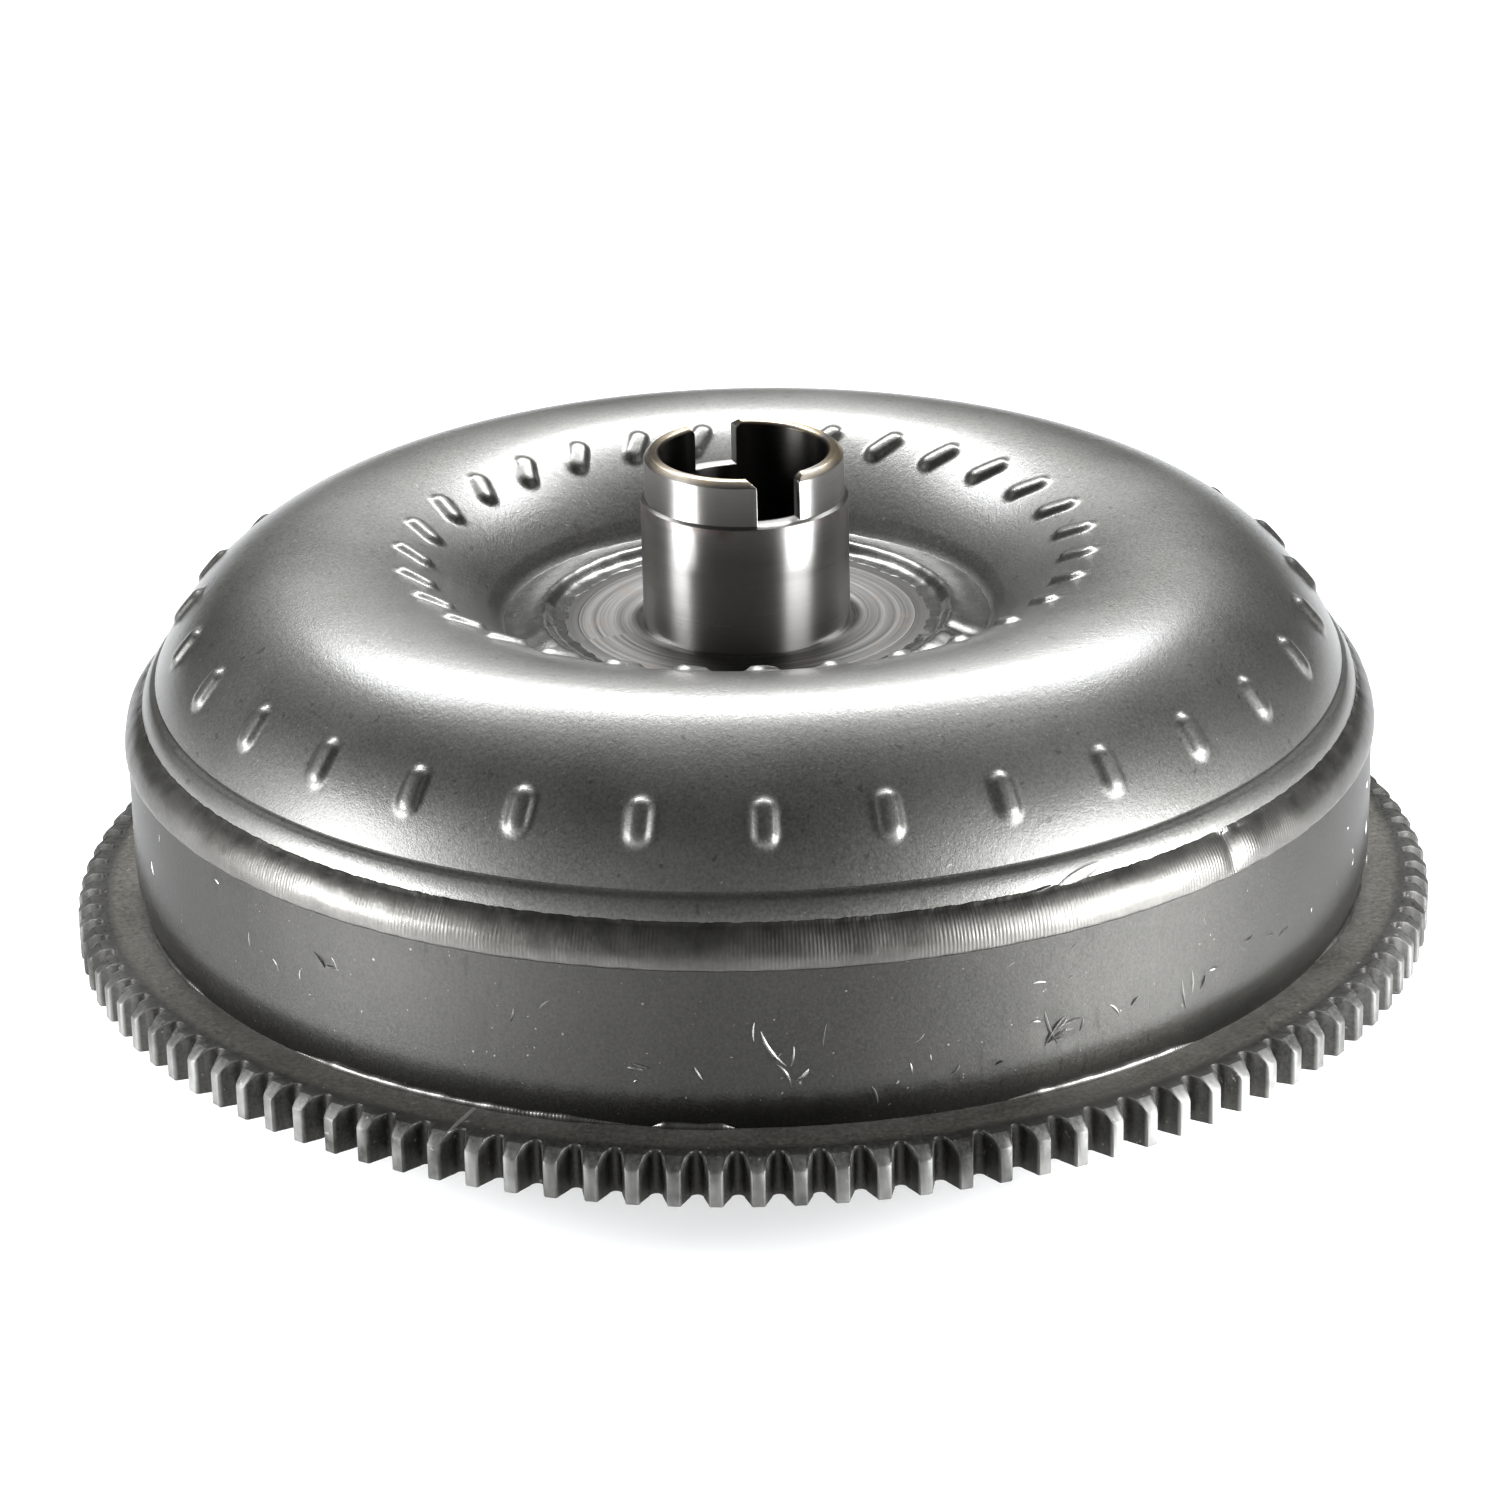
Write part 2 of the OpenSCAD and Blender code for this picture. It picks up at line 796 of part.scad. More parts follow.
front_cover();
crank_pilot();
pilot_bush();
drive_pads();
ring_gear();
ring_gear_welds();
girth_weld();
impeller_shell();
impeller_blades();
impeller_core();
impeller_hub();
hub_weld();
hub_bearing_race();
turbine_shell();
turbine_blades();
turbine_core();
turbine_hub();
turbine_rivets();
turbine_front_washer();
piston_seal();
damper_flange();
damper_front_plate();
damper_rear_plate();
damper_springs();
damper_stop_pins();
piston_plate();
friction_facing();
stator_wheel();
clutch_cam();
clutch_rollers();
roller_springs();
stator_front_cap();
stator_rear_cap();
stator_snap_ring();
stator_thrust_washer();
stator_bearing_race();
stator_inner_race();
needle_cage();
bearing_needles();
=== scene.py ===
"""Looks of the lock-up torque converter.

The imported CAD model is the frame. The parts that show from outside are rebuilt here as finer meshes
with pressed dimples, weld ripples, rounded edges and dents, and every part gets a procedural finish.
Lengths are metres. Heights come from the CAD boxes.
"""

import bmesh
import bpy
import json
import math
import random
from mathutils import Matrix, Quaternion, Vector


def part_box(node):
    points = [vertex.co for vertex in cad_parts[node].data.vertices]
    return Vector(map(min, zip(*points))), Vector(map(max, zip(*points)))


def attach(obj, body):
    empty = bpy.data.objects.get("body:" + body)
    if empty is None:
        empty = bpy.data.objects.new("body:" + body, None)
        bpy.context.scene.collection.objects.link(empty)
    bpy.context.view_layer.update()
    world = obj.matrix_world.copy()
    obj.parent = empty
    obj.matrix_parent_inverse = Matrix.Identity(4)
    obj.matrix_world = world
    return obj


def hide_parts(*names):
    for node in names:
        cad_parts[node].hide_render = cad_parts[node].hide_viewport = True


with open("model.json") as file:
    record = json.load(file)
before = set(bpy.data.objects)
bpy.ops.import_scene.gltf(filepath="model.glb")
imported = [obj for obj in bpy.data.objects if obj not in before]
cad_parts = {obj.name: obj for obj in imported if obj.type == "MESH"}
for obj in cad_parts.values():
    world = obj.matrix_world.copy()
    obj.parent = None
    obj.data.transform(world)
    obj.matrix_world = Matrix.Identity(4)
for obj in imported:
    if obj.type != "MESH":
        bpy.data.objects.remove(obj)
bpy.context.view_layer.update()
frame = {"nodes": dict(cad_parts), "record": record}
MM = 0.001
rng = random.Random(7)

# Datum heights and radii, read from the CAD boxes
ring_low, ring_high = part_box("ring_gear")
shell_low, shell_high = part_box("impeller_shell")
cover_low, cover_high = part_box("front_cover")
hub_low, hub_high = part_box("impeller_hub")
RING_Z = ring_low[2]
RING_TOP = ring_high[2]
TIP_R = ring_high[0]
WALL_R = cover_high[0]
RIM_Z = cover_high[2]
FACE_Z = cover_low[2]
SKIRT_R = shell_high[0]
LEDGE_Z = shell_low[2]
HUB_TOP = hub_high[2]
FLANGE_R = hub_high[0]
FLANGE_TOP = hub_low[2] + 8 * MM
FLOOR_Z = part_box("crank_pilot")[0][2]


# ---------------------------------------------------------------- mesh helpers

def make_object(name, mesh, body, slot_name, *replaced):
    """Puts a finished mesh in the scene, on its body, in place of CAD nodes."""
    piece = bpy.data.objects.new(name, mesh)
    bpy.context.scene.collection.objects.link(piece)
    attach(piece, body)
    if replaced:
        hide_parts(*replaced)
    return piece


def smooth(mesh, angle_deg=None):
    """Smooth shading, with sharp edges above an angle where one is given."""
    for face in mesh.polygons:
        face.use_smooth = True
    if angle_deg is not None:
        mesh.set_sharp_from_angle(angle=math.radians(angle_deg))


def mesh_from(name, verts, faces):
    mesh = bpy.data.meshes.new(name)
    mesh.from_pydata(verts, [], faces)
    mesh.validate()
    mesh.update()
    return mesh


def lathe(name, outline, turns, shift=None):
    """Turns a closed outline of (r, z) points round Z. turns is a list of angles over a full turn.
    shift(i, r, z, angle) may move each point to a new (r, z)."""
    verts, faces = [], []
    rows = len(outline)
    for angle in turns:
        for i, (r, z) in enumerate(outline):
            if shift:
                r, z = shift(i, r, z, angle)
            verts.append((r * math.cos(angle), r * math.sin(angle), z))
    count = len(turns)
    for j in range(count):
        a, b = j * rows, ((j + 1) % count) * rows
        for i in range(rows):
            k = (i + 1) % rows
            faces.append((a + i, b + i, b + k, a + k))
    return mesh_from(name, verts, faces)


def even_turns(count):
    return [2 * math.pi * i / count for i in range(count)]


def arc(centre, radius, start, end, steps):
    """Points of an arc in the (r, z) plane. Angles in degrees, from +r."""
    points = []
    for i in range(steps + 1):
        a = math.radians(start + (end - start) * i / steps)
        points.append((centre[0] + radius * math.cos(a), centre[1] + radius * math.sin(a)))
    return points


def refine(points, step):
    """Adds points so that no stretch of an open line is longer than step."""
    fine = [points[0]]
    for (r0, z0), (r1, z1) in zip(points, points[1:]):
        pieces = max(1, math.ceil(math.hypot(r1 - r0, z1 - z0) / step))
        for i in range(1, pieces + 1):
            fine.append((r0 + (r1 - r0) * i / pieces, z0 + (z1 - z0) * i / pieces))
    return fine


def ramp01(x, low, high):
    """Smooth step from 0 at low to 1 at high."""
    t = min(1.0, max(0.0, (x - low) / (high - low)))
    return t * t * (3 - 2 * t)


def turn_gap(a, b):
    """Signed difference of two angles, in radians, between -pi and pi."""
    return (a - b + math.pi) % (2 * math.pi) - math.pi


# ---------------------------------------------------------------- impeller shell

BLADES = 31
SHELL_T = 3.5 * MM
DOME_C = (84 * MM, RING_Z + 40 * MM)
DOME_RADII = [44.5 * MM, 38 * MM, 60 * MM]
DOME_ANGLES = [23, 67.6, 116.4, 134.8]  # where each arc starts, in degrees, and where the last ends


def blend_centre(centre, difference, angle):
    """Centre of the next arc, so that it carries on smoothly at the angle."""
    a = math.radians(angle)
    return (centre[0] + difference * math.cos(a), centre[1] + difference * math.sin(a))


CREST_C = blend_centre(DOME_C, DOME_RADII[0] - DOME_RADII[1], DOME_ANGLES[1])
INNER_C = blend_centre(CREST_C, DOME_RADII[1] - DOME_RADII[2], DOME_ANGLES[2])


def dome_line(inset, start, steps):
    """The dome's three arcs, from the outer edge to the middle, moved in by inset."""
    return (
        arc(DOME_C, DOME_RADII[0] - inset, start, DOME_ANGLES[1], steps)
        + arc(CREST_C, DOME_RADII[1] - inset, DOME_ANGLES[1], DOME_ANGLES[2], steps)[1:]
        + arc(INNER_C, DOME_RADII[2] - inset, DOME_ANGLES[2], DOME_ANGLES[3], steps // 2)[1:]
    )


# Each row of dimples: arc centre, arc radius, place on the arc in degrees, turn of the first dimple,
# half length, half width, skew
DIMPLE_ROWS = [
    (DOME_C, DOME_RADII[0], 39.8, math.radians(-4.3), 2.4 * MM, 2.55 * MM, 0.0),
    (CREST_C, DOME_RADII[1], 116.3, math.radians(-3), 2.6 * MM, 2.25 * MM, math.radians(-31)),
]
DIMPLE_HEIGHT = 1.15 * MM


def dimple_lift(r, z, angle):
    """How far the pressed dimples stand out at a point of the dome."""
    best = 0.0
    for centre, radius, place, first, half_len, half_w, skew in DIMPLE_ROWS:
        along = radius * (math.atan2(z - centre[1], r - centre[0]) - math.radians(place))
        if abs(along) > half_len + 2 * half_w:
            continue
        pitch = 2 * math.pi / BLADES
        across = r * ((angle - first + pitch / 2) % pitch - pitch / 2)
        u = along * math.cos(skew) - across * math.sin(skew)
        v = along * math.sin(skew) + across * math.cos(skew)
        d = math.hypot(max(0.0, abs(u) - half_len), v) / half_w
        if d < 1.3:
            crown = 1 - 0.45 * min(d, 1.0) ** 2
            best = max(best, DIMPLE_HEIGHT * crown * (1 - ramp01(d, 0.55, 1.3)))
    return best


def impeller_shell():
    """Pressed dome with a rolled bead above the girth weld and two rows of blade-tab dimples."""
    band_r = 8.2 * MM
    band = arc((SKIRT_R - band_r, RING_Z + 50.6 * MM), band_r, 0, 44, 9)
    groove = [(125.2 * MM, RING_Z + 56.55 * MM), (124.75 * MM, RING_Z + 57.0 * MM)]
    dome = dome_line(0, DOME_ANGLES[0], 44)
    lip = [
        (52.6 * MM, RING_Z + 67.1 * MM), (51.4 * MM, RING_Z + 65.7 * MM),
        (50 * MM, FLANGE_TOP), (FLANGE_R, FLANGE_TOP),
    ]
    under = [(FLANGE_R, FLANGE_TOP - 4 * MM), (50.5 * MM, FLANGE_TOP - 3.3 * MM)]
    inside = list(reversed(dome_line(SHELL_T, 12, 8)))
    skirt_in = SKIRT_R - 4.1 * MM
    outside = [(SKIRT_R, LEDGE_Z)] + band + groove + dome + lip
    outline = outside + under + inside + [(skirt_in, LEDGE_Z)]
    last_dome = len(outside) - len(lip)
    first_dome = last_dome - len(dome)

    turns = []
    samples = 34  # for each blade, closer together over its dimples
    for k in range(BLADES):
        for i in range(samples):
            t = 2 * i / samples - 1
            turns.append(math.radians(-3.5) + math.pi / BLADES * (2 * k + 0.3 * t + 0.7 * t ** 3))

    blend_z = CREST_C[1] + DOME_RADII[1] * math.sin(math.radians(DOME_ANGLES[1]))
    crest_r = 90 * MM

    def pressed(i, r, z, angle):
        if not first_dome <= i < last_dome:
            return r, z
        lift = dimple_lift(r, z, angle)
        if lift == 0.0:
            return r, z
        centre = DOME_C if z < blend_z and r > crest_r else CREST_C
        out = math.hypot(r - centre[0], z - centre[1])
        return r + lift * (r - centre[0]) / out, z + lift * (z - centre[1]) / out

    mesh = lathe("impeller_shell_skin", outline, turns, pressed)
    smooth(mesh, 50)
    return make_object("impeller_shell_skin", mesh, "housing", "shell_steel", "impeller_shell")


# ---------------------------------------------------------------- front cover

# Dings in the wall: angle in degrees, then in mm the height above the ring gear's lower face,
# width, height and depth
DINGS = [
    (-109, 27, 5, 4, 0.35), (-106.5, 22, 6, 3, 0.4), (-84.5, 24, 4, 7, 0.5), (-82.5, 21, 5, 3, 0.35),
    (-150, 33, 3, 2, 0.3), (-120, 21, 4, 3, 0.3), (-133, 26, 2, 5, 0.25), (-99, 16, 2, 3, 0.3),
    (-72, 26, 2, 6, 0.3), (-66, 24, 5, 3, 0.3), (-90, 18, 3, 3, 0.3), (-20, 30, 4, 4, 0.35),
    (35, 22, 6, 3, 0.4), (80, 34, 3, 5, 0.3), (130, 25, 5, 5, 0.35), (160, 18, 3, 4, 0.3),
]


def front_cover():
    """Deep pressed cup: flat face, tucked corner above the ring gear, straight wall with dings."""
    belly_r = 28.6 * MM
    belly_c = (WALL_R - belly_r, RING_Z + 20 * MM)
    bore_r = WALL_R - 2.5 * MM
    cover_t = 4.5 * MM
    wall = refine([(WALL_R, RING_Z + 20 * MM), (WALL_R, RIM_Z - 0.8 * MM)], 0.8 * MM)
    belly = arc(belly_c, belly_r, -21.6, 0, 12)
    corner_r, inner_corner_r, centre_r = 4 * MM, 3 * MM, 16 * MM
    foot = [(centre_r, FACE_Z), (60 * MM, FACE_Z)]
    foot += arc((bore_r - corner_r, FACE_Z + corner_r), corner_r, -90, 0, 8)
    foot.append((bore_r, RING_TOP))
    outline = (
        foot
        + belly[:-1]
        + wall
        + [(WALL_R - 0.8 * MM, RIM_Z), (SKIRT_R, RIM_Z), (SKIRT_R, LEDGE_Z), (WALL_R - cover_t, LEDGE_Z)]
        + arc(belly_c, belly_r - cover_t, 0, -21.6, 6)
        + arc((bore_r - cover_t - inner_corner_r, FACE_Z + 8 * MM), inner_corner_r, 0, -90, 6)
        + [(centre_r, FACE_Z + 5 * MM)]
    )
    first = len(foot)
    last = first + len(belly) - 1 + len(wall)

    def dinged(i, r, z, angle):
        if not first <= i < last:
            return r, z
        depth = 0.0
        for place, height, width, tall, deep in DINGS:
            across = turn_gap(angle, math.radians(place)) * WALL_R / (width * MM)
            up = (z - RING_Z - height * MM) / (tall * MM)
            d2 = across * across + up * up
            if d2 < 6:
                depth += deep * MM * (math.exp(-2.2 * d2) - 0.3 * math.exp(-0.9 * d2)) * 0.6
        return r - depth, z

    mesh = lathe("front_cover_skin", outline, even_turns(900), dinged)
    smooth(mesh, 40)
    return make_object("front_cover_skin", mesh, "housing", "cover_steel", "front_cover")


# ---------------------------------------------------------------- welds

def ripple(along, across, pitch, bow):
    """Fish-scale ripple of a weld bead: a sawtooth that bows back towards the toes."""
    phase = along / pitch + bow * across * across
    tooth = phase - math.floor(phase)
    return (tooth ** 1.6 if tooth < 0.82 else (1 - tooth) / 0.18) - 0.5


GIRTH_STOP = math.radians(-64)


def girth_weld():
    """Broad smooth bead that joins the shell's skirt to the cover's rim, with its stop mark."""
    centre = (123.1 * MM, RING_Z + 44.73 * MM)
    radius = 9 * MM
    crown = arc(centre, radius, -4, 50, 18)
    toe_high = [(128.6, 51.8), (128.35, 52.1), (128.0, 52.4)]
    face = crown + [(r * MM, RING_Z + z * MM) for r, z in toe_high]
    toe_low = [(WALL_R - 0.2 * MM, RING_Z + 43.75 * MM), (WALL_R + 0.3 * MM, RING_Z + 43.75 * MM)]
    back = [(SKIRT_R - 0.5 * MM, RING_Z + 51.2 * MM), (SKIRT_R - 0.1 * MM, RIM_Z - 0.2 * MM)]
    outline = toe_low + face + back + [(WALL_R - 0.3 * MM, RIM_Z - 0.4 * MM)]

    def beaded(i, r, z, angle):
        k = i - len(toe_low)
        if not -1 <= k < len(face):
            return r, z
        across = 2 * k / (len(face) - 1) - 1
        along = angle * WALL_R
        edge = max(0.0, 1 - across ** 4)
        lift = 0.02 * MM * ripple(along, across, 1.3 * MM, 2.2) * edge
        lift += 0.11 * MM * math.sin(angle * 19 + 1.3 * math.sin(angle * 7) + 0.8 * across) * edge
        lift += 0.03 * MM * math.sin(angle * 71 + 2 * math.sin(angle * 17) + 2 * across) * edge
        near = turn_gap(angle, GIRTH_STOP) * WALL_R / (2.2 * MM)
        lift -= 0.9 * MM * math.exp(-near * near) * edge
        after = turn_gap(angle, GIRTH_STOP + 0.045) * WALL_R / (4.0 * MM)
        lift += 0.45 * MM * math.exp(-after * after) * edge
        if k >= len(face) - 4:
            ragged = math.sin(angle * 283 + 3 * math.sin(angle * 57)) + math.sin(angle * 131 + 1.7)
            lift += 0.05 * MM * ragged * min(1.0, (k - len(face) + 5) / 3)
        if k <= 0:
            lift += 0.05 * MM * math.sin(angle * 97 + 2 * math.sin(angle * 23))
        out = math.hypot(r - centre[0], z - centre[1])
        return r + lift * (r - centre[0]) / out, z + lift * (z - centre[1]) / out

    mesh = lathe("girth_weld_bead", outline, even_turns(1900), beaded)
    smooth(mesh, 60)
    return make_object("girth_weld_bead", mesh, "housing", "weld_steel", "girth_weld")


def weld_spatter():
    """Small balls of spatter stuck in clusters along the upper toe of the girth weld."""
    bm = bmesh.new()
    clusters = [rng.uniform(0, 2 * math.pi) for _ in range(34)]
    clusters += [math.radians(a) for a in (-150, -133, -131, -112, -104, -101, -96, -93, -83, -71, -67)]
    for cluster in clusters:
        for _ in range(rng.randint(1, 5)):
            angle = cluster + rng.gauss(0, 0.018)
            size = rng.uniform(0.18, 0.42) * MM
            height = RING_Z + (51.0 + abs(rng.gauss(0, 0.35))) * MM
            ball = bmesh.ops.create_icosphere(bm, subdivisions=2, radius=size)
            squash = rng.uniform(0.6, 0.95)
            for v in ball["verts"]:
                v.co.x *= squash
                v.co += Vector((SKIRT_R + 0.1 * MM, 0, height))
                x, y = v.co.x, v.co.y
                v.co.x = x * math.cos(angle) - y * math.sin(angle)
                v.co.y = x * math.sin(angle) + y * math.cos(angle)
    mesh = bpy.data.meshes.new("girth_weld_spatter")
    bm.to_mesh(mesh)
    bm.free()
    smooth(mesh)
    return make_object("girth_weld_spatter", mesh, "housing", "weld_steel")


def sliver(bm, path, width, height, base=WALL_R):
    """Torn ridge of metal on the wall: a thin pointed crest along a path of (angle, z) points."""
    count = len(path)
    rows = []
    for i, (angle, z) in enumerate(path):
        before, after = path[max(0, i - 1)], path[min(count - 1, i + 1)]
        run = ((after[0] - before[0]) * base, after[1] - before[1])
        size = math.hypot(*run) or 1.0
        side = (-run[1] / size, run[0] / size)
        taper = math.sin(math.pi * (i + 0.25) / (count - 0.5)) ** 0.7
        row = []
        for across, out in ((-0.5, -0.12), (-0.18, 0.75), (0.16, 1.0), (0.5, -0.12), (0.0, -0.6)):
            a = angle + side[0] * across * width * taper / base
            r = base + out * height * (taper if out > 0 else 1)
            up = z + side[1] * across * width * taper
            row.append(bm.verts.new((r * math.cos(a), r * math.sin(a), up)))
        rows.append(row)
    for line, after in zip(rows, rows[1:]):
        for k in range(5):
            n = (k + 1) % 5
            bm.faces.new((line[k], after[k], after[n], line[n]))
    bm.faces.new(rows[0])
    bm.faces.new(list(reversed(rows[-1])))


def curl(angle_deg, height_mm, heading_deg, length_mm, bend_deg, steps=7):
    """Curved path on the wall from a start point, a heading and a total bend."""
    angle, z = math.radians(angle_deg), RING_Z + height_mm * MM
    path = [(angle, z)]
    for i in range(steps):
        heading = math.radians(heading_deg + bend_deg * i / steps)
        angle += math.cos(heading) * length_mm * MM / steps / WALL_R
        z += math.sin(heading) * length_mm * MM / steps
        path.append((angle, z))
    return path


# Torn marks on the wall: angle, height above the ring gear, heading, length, bend, width
TORN_MARKS = [
    (-109.6, 31, -75, 9, 40, 0.8), (-108.4, 24, -40, 6, -50, 0.7), (-106.8, 20.5, 15, 3.5, 60, 0.9),
    (-110.2, 29, 100, 4, -30, 0.5), (-107.2, 23.2, 70, 4.5, 25, 0.5),
    (-84.9, 28, -80, 8, 25, 0.7), (-84.6, 21, 35, 6, -40, 0.9), (-84.9, 20.5, 65, 7, -30, 0.8),
    (-84.2, 23.5, 10, 4, 50, 1.0), (-83.2, 24, 25, 4.5, -35, 0.7), (-83.8, 21.5, 20, 3, 40, 1.1),
    (-85.3, 26, 150, 2.5, 50, 0.6), (-81.5, 22, 60, 3, 40, 0.6), (-77.5, 23, 110, 3.5, 40, 0.7),
    (-76.2, 24, 60, 2.5, -40, 0.6), (-70.5, 26, -85, 7, 12, 0.5), (-69.3, 27, -80, 5, -20, 0.5),
    (-68.2, 22, 55, 3, 20, 0.6), (-100.4, 18, -60, 4, -30, 0.5), (-97, 19.5, 80, 2.5, 30, 0.5),
    (-93.5, 18.5, 20, 2.5, 60, 0.6), (-89.5, 18.8, 30, 2, -40, 0.6), (-104.5, 27, 85, 5, -10, 0.4),
    (-151, 35, -35, 4, -25, 0.7), (-149.5, 33, -10, 2.5, 30, 0.6), (-120.5, 24, -25, 4, 25, 0.8),
    (-119.6, 22.5, 160, 3, 30, 0.7), (-115.2, 23.5, -70, 3, 20, 0.6), (-131, 30, 70, 3, 20, 0.5),
    (-128.5, 33, 60, 4, -30, 0.5), (-66, 25, 160, 2.5, 40, 0.6), (-62.5, 28, -20, 3, 60, 0.6),
    (-59, 26, 10, 2.5, -40, 0.6), (-57, 24.5, 5, 3.5, 20, 0.5),
]


def torn_marks():
    """Burrs that handling has left on the cover's wall, and strips of weld metal on the skirt."""
    bm = bmesh.new()
    for angle, height, heading, length, bend, width in TORN_MARKS:
        sliver(bm, curl(angle, height, heading, length, bend), width * MM, 0.36 * MM)
    # Strips of weld metal that lap over the skirt
    sliver(bm, curl(-83.2, 51.6, 12, 12, 6, 10), 2.6 * MM, 0.45 * MM, SKIRT_R - 0.15 * MM)
    sliver(bm, curl(-85.6, 51.9, 5, 5, 8, 6), 0.9 * MM, 0.4 * MM, SKIRT_R - 0.1 * MM)
    sliver(bm, curl(-96.5, 51.8, 0, 8, 5, 8), 0.8 * MM, 0.3 * MM, SKIRT_R - 0.1 * MM)
    for _ in range(70):
        length = rng.uniform(0.8, 3.2)
        place, height = rng.uniform(-180, 180), rng.uniform(15, 40)
        heading, bend = rng.gauss(80, 45), rng.gauss(0, 40)
        path = curl(place, height, heading, length, bend, 4)
        sliver(bm, path, rng.uniform(0.2, 0.42) * MM, rng.uniform(0.07, 0.14) * MM)
    bmesh.ops.recalc_face_normals(bm, faces=bm.faces)
    mesh = bpy.data.meshes.new("cover_torn_marks")
    bm.to_mesh(mesh)
    bm.free()
    smooth(mesh, 50)
    return make_object("cover_torn_marks", mesh, "housing", "cover_steel")


def hub_weld():
    """Wide glossy bead from the shell's lip to the hub's flange, with a crest near its inner toe."""
    section = [
        (53.0, 1.9), (52.3, 1.15), (51.6, 0.7), (50.8, 0.5), (49.6, 0.47), (48.4, 0.65), (47.2, 1.0),
        (46.2, 1.4), (45.2, 1.8), (44.4, 2.05), (43.7, 2.15), (43.1, 2.0), (42.5, 1.6), (41.8, 1.05),
        (41.1, 0.55), (40.4, 0.28), (39.4, 0.16), (38.4, 0.08), (37.6, -0.15),
    ]
    section = refine([(r * MM, FLANGE_TOP + z * MM) for r, z in section], 0.5 * MM)
    outline = section + [(42 * MM, FLANGE_TOP - 0.4 * MM), (52 * MM, FLANGE_TOP - 0.4 * MM)]

    def beaded(i, r, z, angle):
        if i >= len(section):
            return r, z
        place = i / (len(section) - 1)
        edge = math.sin(math.pi * min(1.0, place * 1.02)) ** 0.5
        slow = math.sin(angle * 7 + 1.1 * math.sin(angle * 3)) + 0.7 * math.sin(angle * 16 + 1.7)
        z += 0.03 * MM * slow * edge
        z += 0.025 * MM * math.sin(angle * 43 + 5 * place) * edge
        z += 0.012 * MM * ripple(angle * 45 * MM, 2 * place - 1, 2.4 * MM, 1.6) * edge
        toe = ramp01(place, 0.72, 1.0)
        wobble = math.sin(angle * 13 + 0.5) + 0.8 * math.sin(angle * 31 + 1.1) + 0.4 * math.sin(angle * 67)
        r += toe * 0.28 * MM * wobble
        start = turn_gap(angle, math.radians(-38)) * 45 * MM / (2.6 * MM)
        z -= 0.4 * MM * math.exp(-start * start) * edge
        return r, z

    mesh = lathe("hub_weld_bead", outline, even_turns(720), beaded)
    smooth(mesh, 60)
    return make_object("hub_weld_bead", mesh, "housing", "weld_steel", "hub_weld")


# ---------------------------------------------------------------- ring gear

TEETH = 112
MODULE = 2.54 * MM
GEAR_PHASE = math.radians(0.8)


